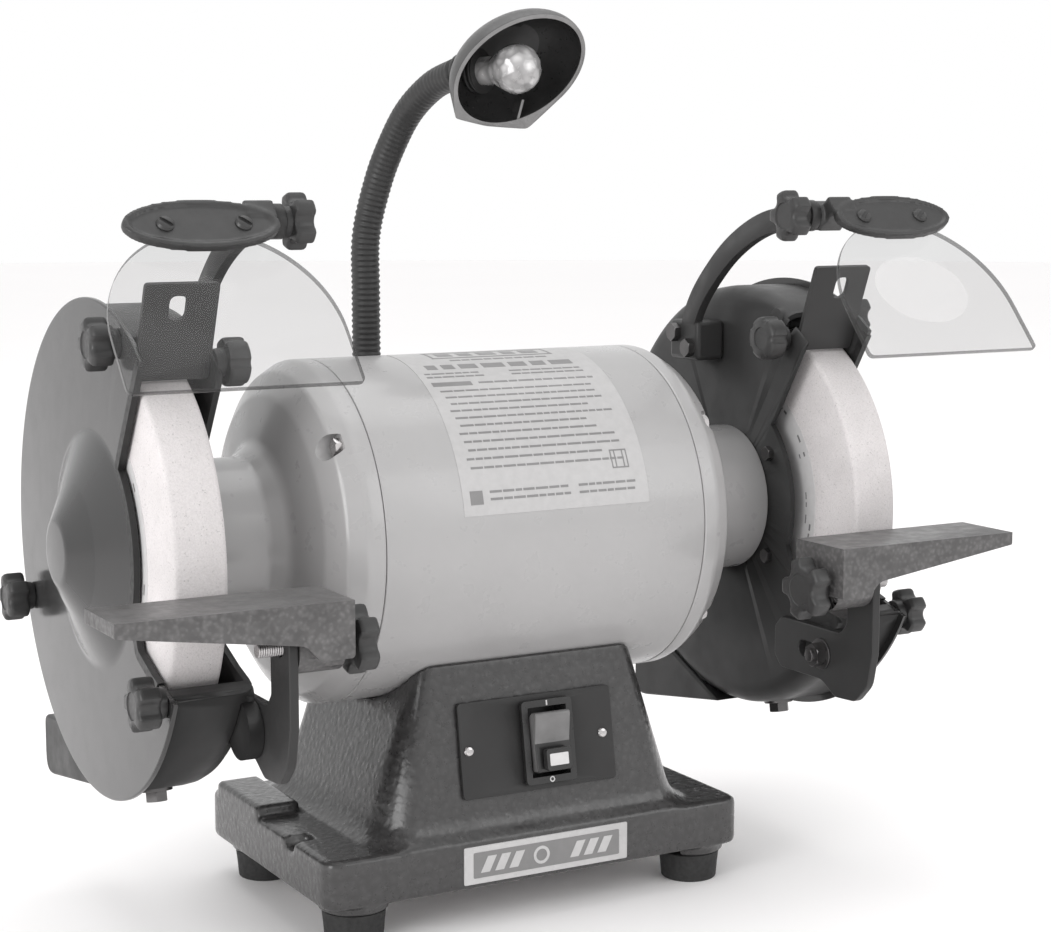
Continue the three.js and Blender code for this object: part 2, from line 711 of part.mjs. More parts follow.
// Flat plate on the inner side of the guard. Its slot lets it slide to follow a worn wheel.
function restBracket() {
  const { y, z } = REST_PIVOT;
  const outline = [
    ...arcAhead(11, 180, 0, 8, y, z),
    [-139, -64], [-135, -82], [-125, -92], [-108, -93], [-96, -86], [-60, -86], [-54, -80],
    [-54, -64], [-60, -58], [-112, -58], [-117, -52],
  ];
  const stud = BRACKET_STUD;
  const slot = plateX(
    slotOutline([stud.y + BRACKET_TRAVEL + 1, stud.z], [stud.y - 1.5, stud.z], 4.2),
    [BRACKET_X[0] - 1, BRACKET_X[1] + 1],
  );
  const bore = rodX(3.8, [BRACKET_X[0] - 1, BRACKET_X[1] + 1], y, z, 16);
  return cut(plateX(outline, BRACKET_X), slot, bore);
}

addPair('tool_rest', toolRest(), MATERIALS.castIron);
addPair('rest_bracket', restBracket(), MATERIALS.darkPaint);
addKnobPair(
  'rest_knob',
  knob(16, 10, 4, 3.4, 44).mirror([1, 0, 0]),
  [REST.inner - GAP - 4, REST_PIVOT.y, REST_PIVOT.z],
);

// ---------------------------------------------------------------- eye shields

// Curved flat bar from the guard's inner wall up and forward to the shield's pivot.
function shieldArm() {
  const { y, z } = SHIELD_PIVOT;
  const curve = new THREE.CatmullRomCurve3([[18, 84], [10, 104], [-4, 121], [-28, 140], [-58, 153],
    [y, z]].map(([py, pz]) => new THREE.Vector3(0, py, pz)));
  const halfWidth = 6;
  const [near, far] = [[], []];
  const steps = 12;
  for (let i = 0; i <= steps; i += 1) {
    const at = curve.getPoint(i / steps);
    const way = curve.getTangent(i / steps);
    near.push([at.y - way.z * halfWidth, at.z + way.y * halfWidth]);
    far.unshift([at.y + way.z * halfWidth, at.z - way.y * halfWidth]);
  }
  const bar = plateX([...near, ...far], ARM_X);
  const foot = box([ARM_X[0], GUARD_IN - GAP], [4, 32], [76, 98]);
  const eye = rodX(8, ARM_X, y, z);
  return cut(join(bar, foot, eye), rodX(3.4, [ARM_X[0] - 1, ARM_X[1] + 1], y, z, 16));
}

// The pane's own frame: X across, Z up its face, -Y out of its front.
function onPane(body) {
  return body.rotate([-SHIELD_LEAN, 0, 0]).translate([WHEEL_X, PANE.foot[0], PANE.foot[1]]);
}

function arched(half, side, arch) {
  const shape = new THREE.Shape();
  shape.moveTo(-half, 0);
  shape.lineTo(half, 0);
  shape.lineTo(half, side);
  shape.absellipse(0, side, half, arch, 0, Math.PI, false, 0);
  shape.closePath();
  return shape;
}

// Lays a shape drawn in X and Y on the pane, between two depths behind its front.
function sheetOnPane(shape, [y0, y1]) {
  const depth = y1 - y0;
  const geometry = new THREE.ExtrudeGeometry(shape, { depth, bevelEnabled: false, curveSegments: 14 });
  geometry.rotateX(Math.PI / 2);
  geometry.translate(0, y1, 0);
  return solid(geometry);
}

const CLAMP = { low: 71, high: 97, half: 36 };

function shieldPane() {
  const sheet = sheetOnPane(arched(PANE.half, PANE.side, PANE.arch), [0, PANE.thick]);
  return onPane(sheet);
}

// Oval clamp across the top of the pane, with a barrel for the pivot bolt.
function shieldBracket() {
  const oval = new THREE.Shape();
  const middle = (CLAMP.low + CLAMP.high) / 2;
  oval.absellipse(0, middle, CLAMP.half, (CLAMP.high - CLAMP.low) / 2, 0, 2 * Math.PI, false, 0);
  const face = onPane(sheetOnPane(oval, [-4.3, -GAP]));
  const { y, z } = SHIELD_PIVOT;
  const barrelX = [ARM_X[1] + GAP, ARM_X[1] + 15];
  const barrel = rodX(7.5, barrelX, y, z);
  const web = onPane(box([-36, -22], [-4.3, 13], [88, 97]));
  const body = join(face, barrel, web);
  return cut(body, rodX(3.4, [barrelX[0] - 1, barrelX[1] - 3], y, z, 16));
}

addPair('shield_arm', shieldArm(), MATERIALS.darkPaint);
addPair('shield_bracket', shieldBracket(), MATERIALS.darkPaint);
addPair('shield_pane', shieldPane(), MATERIALS.clearPlastic);
addKnobPair(
  'shield_knob',
  knob(13, 10, 3, 3, 18).mirror([1, 0, 0]),
  [ARM_X[0] - GAP - 3, SHIELD_PIVOT.y, SHIELD_PIVOT.z],
);

// ---------------------------------------------------------------- work lamp

// Round tube along a curve.
function tubeAlong(curve, radius, steps, sides = 10) {
  const ring = new THREE.Shape();
  for (let i = 0; i < sides; i += 1) {
    const angle = (i / sides) * 2 * Math.PI;
    const [x, y] = [radius * Math.cos(angle), radius * Math.sin(angle)];
    if (i === 0) ring.moveTo(x, y);
    else ring.lineTo(x, y);
  }
  ring.closePath();
  return solid(new THREE.ExtrudeGeometry(ring, { extrudePath: curve, steps }));
}

const NECK_CURVE = new THREE.CatmullRomCurve3([
  new THREE.Vector3(NECK_AT.x, NECK_AT.y, LAMP_PIVOT_Z + 3.5),
  new THREE.Vector3(-12, 100, 145),
  new THREE.Vector3(-6.5, 96, 174),
  new THREE.Vector3(-1.5, 88, 195),
  new THREE.Vector3(3, 75, 213),
  new THREE.Vector3(8, 56, 226),
  LAMP_END,
]);

// Unit vectors of the lamp head: out of the neck, out of the open mouth, and along its long side.
const HEAD_REACH = new THREE.Vector3().subVectors(LAMP_HEAD, LAMP_END).normalize();
const MOUTH = new THREE.Vector3(-0.065, -0.893, -0.446).normalize();
const LONG_SIDE = new THREE.Vector3(0.8, -0.45, 0.38)
  .addScaledVector(MOUTH, -MOUTH.dot(new THREE.Vector3(0.8, -0.45, 0.38))).normalize();
const HEAD_FRAME = new THREE.Matrix4()
  .makeBasis(LONG_SIDE, new THREE.Vector3().crossVectors(MOUTH, LONG_SIDE), MOUTH)
  .setPosition(LAMP_HEAD);
const HOOD = { long: 38, short: 29, deep: 26, wall: 2.2, mouth: 3 };
const LIP_CORNERS = [[-41, -6.5], [-8, -33.5]];   // straight lower edge, in the plane of the mouth

function alongReach(distance) {
  return LAMP_HEAD.clone().addScaledVector(HEAD_REACH, distance);
}

function ellipsoid(shrink) {
  const geometry = new THREE.SphereGeometry(1, 20, 12);
  geometry.scale(HOOD.long - shrink, HOOD.short - shrink, HOOD.deep - shrink);
  return geometry;
}

// The outside of the hood: an ellipsoid drawn out to the two corners of its straight lip.
function hoodShell() {
  const corners = LIP_CORNERS.map(([x, y]) => new THREE.Vector3(x, y, HOOD.mouth + 1));
  const round = ellipsoid(0).getAttribute('position');
  const points = [];
  for (let i = 0; i < round.count; i += 1) {
    points.push(new THREE.Vector3().fromBufferAttribute(round, i));
  }
  const geometry = new ConvexGeometry([...points, ...corners]);
  geometry.applyMatrix4(HEAD_FRAME);
  return solid(geometry);
}

function lampHead() {
  const mouth = box([-60, 60], [-60, 60], [HOOD.mouth, 60]).transform([...HEAD_FRAME.elements]);
  const hollow = solid(ellipsoid(HOOD.wall).applyMatrix4(HEAD_FRAME));
  const collar = rodBetween(11, alongReach(-33.5), alongReach(-21), 16);
  const holder = rodBetween(10.5, alongReach(-33), alongReach(-15), 16);
  const bore = rodBetween(8.4, alongReach(-29), alongReach(-10), 16);
  return cut(join(cut(join(hoodShell(), collar), hollow), holder), mouth, bore);
}

function lampBulb() {
  const globe = new THREE.SphereGeometry(12.5, 14, 8);
  globe.translate(...LAMP_HEAD.toArray());
  return join(solid(globe), rodBetween(8, alongReach(-28), alongReach(-8), 16));
}

const LOWER_NECK = [LAMP_SOCKET.low + 4.5, LAMP_PIVOT_Z - 3.5];
addMesh('gooseneck_lower', rodZ(LAMP_TUBE_R, LOWER_NECK, NECK_AT.x, NECK_AT.y, 10), MATERIALS.darkPaint);
addMesh('gooseneck_upper', tubeAlong(NECK_CURVE, LAMP_TUBE_R, 18), MATERIALS.darkPaint);
addMesh('lamp_head', lampHead(), MATERIALS.darkPaint);
addMesh('lamp_bulb', lampBulb(), MATERIALS.glass);

export default grinder;
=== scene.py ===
"""Looks for the bench grinder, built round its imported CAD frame.

Shapes are drawn in millimetres in the spindle's own frame: X along the spindle, -Y towards the
person using the machine, +Z up, zero at the middle of the motor. keep() moves them into the
frame in metres. Paired pieces are drawn once on the right (+X) and mirrored to the left.
"""
import json
import math
import random

import bmesh
import bpy
from mathutils import Matrix, Vector, noise


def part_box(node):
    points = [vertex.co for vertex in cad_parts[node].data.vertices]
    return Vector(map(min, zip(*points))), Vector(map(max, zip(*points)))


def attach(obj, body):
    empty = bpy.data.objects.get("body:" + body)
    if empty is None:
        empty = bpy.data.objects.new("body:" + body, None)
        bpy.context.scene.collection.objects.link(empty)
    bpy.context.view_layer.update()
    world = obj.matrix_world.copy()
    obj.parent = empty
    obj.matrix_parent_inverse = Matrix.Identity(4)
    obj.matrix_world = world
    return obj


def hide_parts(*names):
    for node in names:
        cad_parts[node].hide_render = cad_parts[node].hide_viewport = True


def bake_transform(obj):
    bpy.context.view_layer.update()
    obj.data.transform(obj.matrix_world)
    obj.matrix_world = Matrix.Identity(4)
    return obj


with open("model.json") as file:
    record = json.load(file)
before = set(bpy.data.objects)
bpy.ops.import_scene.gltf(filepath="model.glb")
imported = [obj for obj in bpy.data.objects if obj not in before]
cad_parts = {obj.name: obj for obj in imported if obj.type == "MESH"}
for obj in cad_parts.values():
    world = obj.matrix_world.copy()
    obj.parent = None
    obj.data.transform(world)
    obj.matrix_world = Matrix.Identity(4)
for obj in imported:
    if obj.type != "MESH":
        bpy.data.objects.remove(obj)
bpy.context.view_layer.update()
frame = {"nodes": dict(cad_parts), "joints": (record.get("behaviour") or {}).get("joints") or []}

# ---------------------------------------------------------------- driving dimensions, in mm

MM = 0.001
JOINTS = {joint["name"]: joint for joint in frame["joints"]}
SHAFT = Vector(JOINTS["spindle_spin"]["pos_m"])
SIDES = {"right": 1, "left": -1}


def pivot(name):
    """A joint's place, in the spindle's frame."""
    return (Vector(JOINTS[name]["pos_m"]) - SHAFT) / MM


def span(node):
    """The box of a CAD node, in the spindle's frame: its X, Y and Z ranges."""
    low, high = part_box(node)
    low, high = (low - SHAFT) / MM, (high - SHAFT) / MM
    return [(low[i], high[i]) for i in range(3)]


WHEEL_X = span("wheel_right")[0]
WHEEL_R = span("wheel_right")[2][1]
GUARD_OUT = span("guard_right")[0][1]
GUARD_IN = GUARD_OUT - 39.5
PAN_R = 117.5                     # outside of the guard's band
COVER_R = span("guard_cover_right")[1][1]
COVER_FACE = GUARD_OUT + 2.3
COVER_TOP = span("guard_cover_right")[0][1]
GUARD_WALL = 3
MOTOR_HALF = span("motor_shell")[0][1]
MOTOR_R = 87
NECK_R = 40
NECK_END = span("end_bell_right")[0][1]
BASE_X = span("base_casting")[0]
BASE_FLOOR = span("foot_front_left")[2][0]
FEET = [span(f"foot_{row}_{side}") for row in ("front", "rear") for side in ("left", "right")]
POSTS = {place: pivot(f"cover_knob_turn_{place}_right") for place in ("top", "front", "rear")}
ROUND = 144                       # sides of a large turned piece

# ---------------------------------------------------------------- flat outlines


def ahead(radius, degrees, y=0.0, z=0.0):
    """A point [y, z] at an angle measured up from straight ahead (-Y)."""
    angle = math.radians(degrees)
    return (y - radius * math.cos(angle), z + radius * math.sin(angle))


def arc(radius, start, stop, steps, y=0.0, z=0.0):
    turn = (stop - start) / steps
    return [ahead(radius, start + i * turn, y, z) for i in range(steps + 1)]


def filleted(points, closed=True, steps=5):
    """Rounds the corners of an outline. A point may carry its own radius as a third number."""
    out = []
    count = len(points)
    for i, point in enumerate(points):
        here = Vector(point[:2])
        radius = point[2] if len(point) > 2 else 0
        if radius == 0 or (not closed and i in (0, count - 1)):
            out.append(tuple(here))
            continue
        before, after = Vector(points[i - 1][:2]) - here, Vector(points[(i + 1) % count][:2]) - here
        half = before.angle(after) / 2
        reach = min(radius / math.tan(half), 0.48 * before.length, 0.48 * after.length)
        a, b = here + before.normalized() * reach, here + after.normalized() * reach
        for k in range(steps + 1):
            t = k / steps
            out.append(tuple((1 - t) ** 2 * a + 2 * t * (1 - t) * here + t ** 2 * b))
    return out


def rectangle(width, height, radius=0.0):
    w, h = width / 2, height / 2
    return filleted([(-w, -h, radius), (w, -h, radius), (w, h, radius), (-w, h, radius)])


def around(steps):
    """Angles that divide a full turn into equal steps."""
    return [2 * math.pi * i / steps for i in range(steps)]


def ellipse(a, b, steps=72):
    return [(a * math.cos(t), b * math.sin(t)) for t in around(steps)]


def slot_outline(start, stop, radius, steps=8):
    """A slot with round ends between two points."""
    turn = math.atan2(stop[1] - start[1], stop[0] - start[0])
    points = []
    for end, offset in ((stop, -math.pi / 2), (start, math.pi / 2)):
        for i in range(steps + 1):
            angle = turn + offset + math.pi * i / steps
            points.append((end[0] + radius * math.cos(angle), end[1] + radius * math.sin(angle)))
    return points


# ---------------------------------------------------------------- solids

AXES = {
    "x": Matrix(((0, 0, 1, 0), (1, 0, 0, 0), (0, 1, 0, 0), (0, 0, 0, 1))),   # outline in y, z
    "y": Matrix(((1, 0, 0, 0), (0, 0, -1, 0), (0, 1, 0, 0), (0, 0, 0, 1))),  # outline in x, z
    "z": Matrix.Identity(4),                                                 # outline in x, y
}


def solid(mesh_data, name="solid"):
    obj = bpy.data.objects.new(name, mesh_data)
    bpy.context.scene.collection.objects.link(obj)
    return obj


def from_bmesh(bm, matrix=None):
    if matrix is not None:
        bm.transform(matrix)
    bmesh.ops.remove_doubles(bm, verts=bm.verts, dist=1e-5)
    bmesh.ops.recalc_face_normals(bm, faces=bm.faces)
    mesh = bpy.data.meshes.new("solid")
    bm.to_mesh(mesh)
    bm.free()
    return solid(mesh)


def prism(outline, low, high, axis="x", matrix=None):
    """Extrudes an outline between two places along an axis."""
    bm = bmesh.new()
    if axis == "y":
        low, high = -low, -high
    rings = [[bm.verts.new((u, v, w)) for u, v in outline] for w in (low, high)]
    bm.faces.new(rings[0])
    bm.faces.new(rings[1])
    for i in range(len(outline)):
        j = (i + 1) % len(outline)
        bm.faces.new((rings[0][i], rings[0][j], rings[1][j], rings[1][i]))
    return from_bmesh(bm, AXES[axis] if matrix is None else matrix @ AXES[axis])


def block(x, y, z, matrix=None):
    return prism([(x[0], y[0]), (x[1], y[0]), (x[1], y[1]), (x[0], y[1])], *z, "z", matrix)


def turned(profile, steps=ROUND, matrix=None, closed=False, corner=5):
    """Revolves [radius, x] points about X, with its corners rounded in so many steps.

    A closed profile makes a ring.
    """
    bm = bmesh.new()
    rings = []
    for radius, x in filleted(profile, closed, corner):
        if radius < 1e-6:
            rings.append([bm.verts.new((x, 0, 0))])
            continue
        ring = []
        for i in range(steps):
            angle = 2 * math.pi * i / steps
            ring.append(bm.verts.new((x, -radius * math.cos(angle), radius * math.sin(angle))))
        rings.append(ring)
    pairs = list(zip(rings, rings[1:])) + ([(rings[-1], rings[0])] if closed else [])
    for a, b in pairs:
        for i in range(steps):
            j = (i + 1) % steps
            corners = [a[i % len(a)], a[j % len(a)], b[j % len(b)], b[i % len(b)]]
            corners = list(dict.fromkeys(corners))
            if len(corners) > 2:
                bm.faces.new(corners)
    return from_bmesh(bm, matrix)


def rod(radius, x, y=0.0, z=0.0, steps=32, edge=0.0):
    """A cylinder along X, with rounded ends if edge is given."""
    profile = [(0, x[0]), (radius, x[0], edge), (radius, x[1], edge), (0, x[1])]
    return turned(profile, steps, Matrix.Translation((0, y, z)), corner=3)


def aimed(origin, direction):
    """A frame whose X points along a direction."""
    turn = Vector((1, 0, 0)).rotation_difference(Vector(direction)).to_matrix().to_4x4()
    return Matrix.Translation(origin) @ turn


def bar(radius, start, stop, steps=32, edge=0.0):
    start, stop = Vector(start), Vector(stop)
    profile = [(0, 0), (radius, 0, edge), (radius, (stop - start).length, edge),
               (0, (stop - start).length)]
    return turned(profile, steps, aimed(start, stop - start), corner=3)


def skinned(rings, matrix=None):
    """A closed body through rings of points, with a flat face at each end."""
    bm = bmesh.new()
    loops = [[bm.verts.new(point) for point in ring] for ring in rings]
    for a, b in zip(loops, loops[1:]):
        for i in range(len(a)):
            j = (i + 1) % len(a)
            bm.faces.new((a[i], a[j], b[j], b[i]))
    bm.faces.new(loops[0])
    bm.faces.new(loops[-1])
    return from_bmesh(bm, matrix)


def swept(path, radii, steps):
    """A round tube along a path, with a radius at each point and closed ends."""
    side = Vector((1, 0, 0))
    rings = []
    for i, point in enumerate(path):
        along = (path[min(i + 1, len(path) - 1)] - path[max(i - 1, 0)]).normalized()
        side = (side - along * side.dot(along)).normalized()
        up = along.cross(side)
        rings.append([point + radii[i] * (side * math.cos(t) + up * math.sin(t))
                      for t in around(steps)])
    return skinned(rings)


def curve_through(points, steps):
    """Points along a smooth curve through the given ones."""
    pad = [2 * points[0] - points[1], *points, 2 * points[-1] - points[-2]]
    out = []
    for a, b, c, d in zip(pad, pad[1:], pad[2:], pad[3:]):
        for i in range(steps):
            t = i / steps
            out.append(0.5 * (2 * b + (c - a) * t + (2 * a - 5 * b + 4 * c - d) * t * t
                              + (3 * b - a - 3 * c + d) * t ** 3))
    return [*out, points[-1].copy()]


def hull(points):
    bm = bmesh.new()
    for point in points:
        bm.verts.new(point)
    result = bmesh.ops.convex_hull(bm, input=bm.verts)
    inside = {g for g in result["geom_interior"] + result["geom_unused"]
              if isinstance(g, bmesh.types.BMVert)}
    bmesh.ops.delete(bm, geom=list(inside), context="VERTS")
    return from_bmesh(bm)


def hexagon(across, x, y=0.0, z=0.0, edge=0.6):
    """A hexagonal nut or bolt head along X."""
    corner = across / math.sqrt(3)
    outline = [ahead(corner, 60 * i + 30) for i in range(6)]
    head = prism([(y + a, z + b) for a, b in outline], *x)
    low, high = x
    rounding = [(0, low), (corner - edge, low), (corner + 1, low + 1.2),
                (corner + 1, high - 1.2), (corner - edge, high), (0, high)]
    return combine(head, "INTERSECT", turned(rounding, 48, Matrix.Translation((0, y, z))))


# ---------------------------------------------------------------- joining, cutting, finishing


def baked(obj):
    """Applies the modifiers of an object to its mesh."""
    graph = bpy.context.evaluated_depsgraph_get()
    mesh = bpy.data.meshes.new_from_object(obj.evaluated_get(graph))
    old = obj.data
    obj.modifiers.clear()
    obj.data = mesh
    bpy.data.meshes.remove(old)
    return obj


def combine(body, operation, *tools):
    for tool in tools:
        modifier = body.modifiers.new(operation, "BOOLEAN")
        modifier.operation = operation
        modifier.object = tool
        modifier.solver = "EXACT"
        baked(body)
        bpy.data.objects.remove(tool)
    return body


def join(body, *tools):
    return combine(body, "UNION", *tools)


def cut(body, *tools):
    return combine(body, "DIFFERENCE", *tools)


def gathered(*bodies):
    """Puts bodies that stay separate into one object."""
    bm = bmesh.new()
    for body in bodies:
        bm.from_mesh(body.data)
        bpy.data.objects.remove(body)
    mesh = bpy.data.meshes.new("solid")
    bm.to_mesh(mesh)
    bm.free()
    return solid(mesh)


def cast(body, voxel, smooth):
    """Melts a body into one skin with soft corners, as a casting or moulding has."""
    remesh = body.modifiers.new("remesh", "REMESH")
    remesh.mode = "VOXEL"
    remesh.voxel_size = voxel
    softened = body.modifiers.new("smooth", "SMOOTH")
    softened.iterations = smooth
    softened.factor = 0.5
    return baked(body)


def smoothed(body):
    for polygon in body.data.polygons:
        polygon.use_smooth = True


def bevelled(body, width, angle=34, segments=2):
    modifier = body.modifiers.new("bevel", "BEVEL")
    modifier.width = width
    modifier.segments = segments
    modifier.limit_method = "ANGLE"
    modifier.angle_limit = math.radians(angle)
    modifier.use_clamp_overlap = True
    modifier.harden_normals = True
    smoothed(body)
    return baked(body)


def mirrored(body):
    body.data.transform(Matrix.Diagonal((-1, 1, 1, 1)))
    body.data.flip_normals()
    return body


def keep(body, name, rides, material, slot, replaces=(), bevel=0.0, sharp=34):
    """Finishes a piece: edges, shading, material, place, and the body it rides on."""
    if bevel:
        bevelled(body, bevel)
    else:
        smoothed(body)
        body.data.set_sharp_from_angle(angle=math.radians(sharp))
    body.name = name
    body.data.name = name
    body.data.transform(Matrix.Translation(SHAFT) @ Matrix.Scale(MM, 4))
    materials = material if isinstance(material, (list, tuple)) else [material]
    painted = [polygon.material_index for polygon in body.data.polygons]
    body.data.materials.clear()
    for item in materials:
        body.data.materials.append(item)
    if len(materials) > 1:
        for polygon, index in zip(body.data.polygons, painted):
            polygon.material_index = index
    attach(body, rides)
    if replaces:
        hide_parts(*replaces)
    return body


def keep_pair(build, name, rides, material, slot, replaces=(), **options):
    """Builds a piece for the right and a mirrored one for the left."""
    for side, sign in SIDES.items():
        body = build()
        if sign < 0:
            mirrored(body)
        nodes = [f"{node}_{side}" for node in replaces]
        rider = rides if rides in ("base", "spindle") else f"{rides}_{side}"
        keep(body, f"{name}_{side}", rider, material, slot, nodes, **options)


def paint_faces(body, index, chosen):
    """Gives the faces for which chosen(centre, normal) is true another material slot."""
    for polygon in body.data.polygons:
        if chosen(polygon.center, polygon.normal):
            polygon.material_index = index
    return body


# ---------------------------------------------------------------- materials


class Finish:
    """A node material on the Principled shader, in the object's own coordinates."""

    def __init__(self, name, roughness=0.5, metallic=0.0, **sockets):
        self.material = bpy.data.materials.new(name)
        self.material.use_nodes = True
        self.tree = self.material.node_tree
        self.shader = self.tree.nodes["Principled BSDF"]
        self.shader.inputs["Roughness"].default_value = roughness
        self.shader.inputs["Metallic"].default_value = metallic
        for socket, value in sockets.items():
            self.shader.inputs[socket.replace("_", " ")].default_value = value
        self.place = self.node("ShaderNodeTexCoord").outputs["Object"]
        self.normal = None

    def node(self, kind, **inputs):
        node = self.tree.nodes.new(kind)
        for key, value in inputs.items():
            node.inputs[key.replace("_", " ")].default_value = value
        return node

    def link(self, output, socket):
        self.tree.links.new(output, socket)

    def noise(self, size, detail=3.0, roughness=0.55, stretch=None):
        """Noise whose features are about size mm across."""
        node = self.node("ShaderNodeTexNoise", Scale=1 / (size * MM), Detail=detail,
                         Roughness=roughness)
        place = self.place
        if stretch is not None:
            mapping = self.node("ShaderNodeMapping", Scale=stretch)
            self.link(place, mapping.inputs["Vector"])
            place = mapping.outputs["Vector"]
        self.link(place, node.inputs["Vector"])
        return node.outputs["Fac"]

    def cells(self, size, feature="SMOOTH_F1"):
        node = self.node("ShaderNodeTexVoronoi", Scale=1 / (size * MM))
        node.feature = feature
        warp = self.node("ShaderNodeTexNoise", Scale=0.6 / (size * MM), Detail=2.0)
        self.link(self.place, warp.inputs["Vector"])
        mixed = self.node("ShaderNodeVectorMath")
        mixed.operation = "MULTIPLY_ADD"
        mixed.inputs[1].default_value = (size * MM,) * 3
        self.link(warp.outputs["Color"], mixed.inputs[0])
        self.link(self.place, mixed.inputs[2])
        self.link(mixed.outputs[0], node.inputs["Vector"])
        return node.outputs["Distance"]

    def graded(self, value, low, high, start=0.3, stop=0.7):
        """Maps a value between start and stop to a range of numbers."""
        node = self.node("ShaderNodeMapRange", From_Min=start, From_Max=stop, To_Min=low,
                         To_Max=high)
        self.link(value, node.inputs["Value"])
        return node.outputs["Result"]

    def shades(self, value, *stops):
        """A colour ramp from (place, grey or colour) stops."""
        ramp = self.node("ShaderNodeValToRGB")
        elements = ramp.color_ramp.elements
        while len(elements) < len(stops):
            elements.new(0.5)
        for element, (place, colour) in zip(elements, stops):
            element.position = place
            element.color = grey(colour)
        self.link(value, ramp.inputs["Fac"])
        return ramp.outputs["Color"]

    def patches(self, size, detail, low, high):
        """Two shades that run into each other over patches of about size mm."""
        return self.shades(self.noise(size, detail), (0.3, low), (0.7, high))

    def multiply(self, a, b):
        node = self.node("ShaderNodeMix")
        node.data_type = "RGBA"
        node.blend_type = "MULTIPLY"
        node.inputs["Factor"].default_value = 1.0
        self.link(a, node.inputs[6])
        self.link(b, node.inputs[7])
        return node.outputs[2]

    def colour(self, output):
        self.link(output, self.shader.inputs["Base Color"])
        return self

    def roughness(self, output):
        self.link(output, self.shader.inputs["Roughness"])
        return self

    def worn(self, size, detail, low, high):
        """Roughness that wanders over patches of about size mm."""
        return self.roughness(self.graded(self.noise(size, detail), low, high))

    def bump(self, height, depth):
        """Raises the surface by depth mm where height is 1."""
        node = self.node("ShaderNodeBump", Distance=depth * MM)
        self.link(height, node.inputs["Height"])
        if self.normal is not None:
            self.link(self.normal, node.inputs["Normal"])
        self.normal = node.outputs["Normal"]
        self.link(self.normal, self.shader.inputs["Normal"])
        return self


def grey(value):
    if isinstance(value, (int, float)):
        return (value, value * 0.985, value * 0.985, 1)
    return (*value, 1)


def enamel(name, tone, rough, texture=0.02, orange=2.6, coat=0.2, shine=0.5):
    """Sprayed paint: orange peel, faint mottling, and dust that dulls the gloss in places."""
    f = Finish(name, Coat_Weight=coat, Coat_Roughness=0.12, Specular_IOR_Level=shine)
    f.colour(f.shades(f.noise(38, 5), (0.3, tone * 0.97), (0.5, tone), (0.75, tone * 1.03)))
    f.worn(14, 6, rough * 0.82, rough * 1.22)
    f.bump(f.noise(orange, 2), texture).bump(f.noise(0.5, 2), texture * 0.15)
    return f.material


def hammered(name, tone, cell=3.1, depth=0.34):
    """Hammer-finish enamel over sand-cast iron."""
    f = Finish(name, Coat_Weight=0.35, Coat_Roughness=0.16)
    pits = f.cells(cell)
    f.colour(f.multiply(f.shades(pits, (0.0, tone * 1.25), (0.6, tone * 0.8)),
                        f.patches(24, 4, 0.86, 1.0)))
    f.worn(3, 3, 0.24, 0.42)
    f.bump(pits, -depth).bump(f.noise(cell * 1.7, 3), depth * 0.55).bump(f.noise(0.7, 2), 0.02)
    return f.material


def moulded(name, tone, rough, grain=0.35, depth=0.02):
    """Moulded plastic or rubber with a fine sparked grain."""
    f = Finish(name)
    f.colour(f.patches(9, 4, tone * 0.88, tone * 1.12))
    f.worn(2.5, 5, rough * 0.8, rough * 1.2)
    f.bump(f.noise(grain, 2), depth).bump(f.noise(5, 2), depth * 2)
    return f.material


def metal(name, tone, rough, stretch=(1, 1, 1), depth=0.012):
    """Turned or rolled metal, with marks drawn out along the stretch's smallest axes."""
    f = Finish(name, metallic=1.0)
    marks = f.noise(0.8, 4, stretch=stretch)
    f.colour(f.multiply(f.patches(6, 4, tone * 0.82, tone),
                        f.shades(marks, (0.3, 0.88), (0.7, 1.0))))
    f.roughness(f.graded(marks, rough * 0.75, rough * 1.3))
    f.bump(marks, depth)
    return f.material


def grit(name):
    """Open-grained white abrasive: bright grains, small dark pores, light grey loading."""
    f = Finish(name, Specular_IOR_Level=0.25)
    grains = f.cells(0.9, "F1")
    pores = f.noise(1.1, 4, 0.7)
    base = f.shades(f.noise(30, 5), (0.25, 0.6), (0.6, 0.68), (0.8, 0.72))
    f.colour(f.multiply(f.multiply(base, f.shades(grains, (0.1, 1.0), (0.8, 0.9))),
                        f.shades(pores, (0.32, 0.62), (0.4, 1.0))))
    f.worn(2, 3, 0.8, 1.0)
    f.bump(grains, -0.14).bump(pores, 0.1)
    return f.material


def cast_iron(name, tone, rough, depth):
    """Painted casting that has picked up handling wear."""
    f = Finish(name, metallic=0.15)
    lumps = f.cells(2.2)
    f.colour(f.multiply(f.shades(lumps, (0.05, tone * 1.3), (0.55, tone * 0.8)),
                        f.shades(f.noise(11, 5), (0.35, 0.75), (0.65, 1.0))))
    f.worn(4, 5, rough * 0.75, rough * 1.2)
    f.bump(lumps, -depth).bump(f.noise(0.9, 3), depth * 0.25)
    return f.material


def ground_face(name, tone):
    """The machined top of a tool rest: fine straight marks and a few rubbed places."""
    f = Finish(name, metallic=0.4)
    marks = f.noise(0.5, 3, stretch=(0.04, 1, 1))
    f.colour(f.multiply(f.patches(18, 5, tone * 0.8, tone * 1.1),
                        f.shades(marks, (0.3, 0.84), (0.7, 1.0))))
    f.worn(7, 5, 0.34, 0.55)
    f.bump(marks, 0.012)
    return f.material


def clear(name, tone, alpha, rough=0.04):
    """Clear moulded sheet: see-through, with faint haze and a slight wave in it."""
    f = Finish(name, Alpha=alpha, Coat_Weight=0.25, Coat_Roughness=0.03)
    f.colour(f.patches(60, 3, tone * 0.96, tone))
    f.worn(25, 4, rough, rough * 3)
    f.bump(f.noise(40, 2), 0.05)
    return f.material


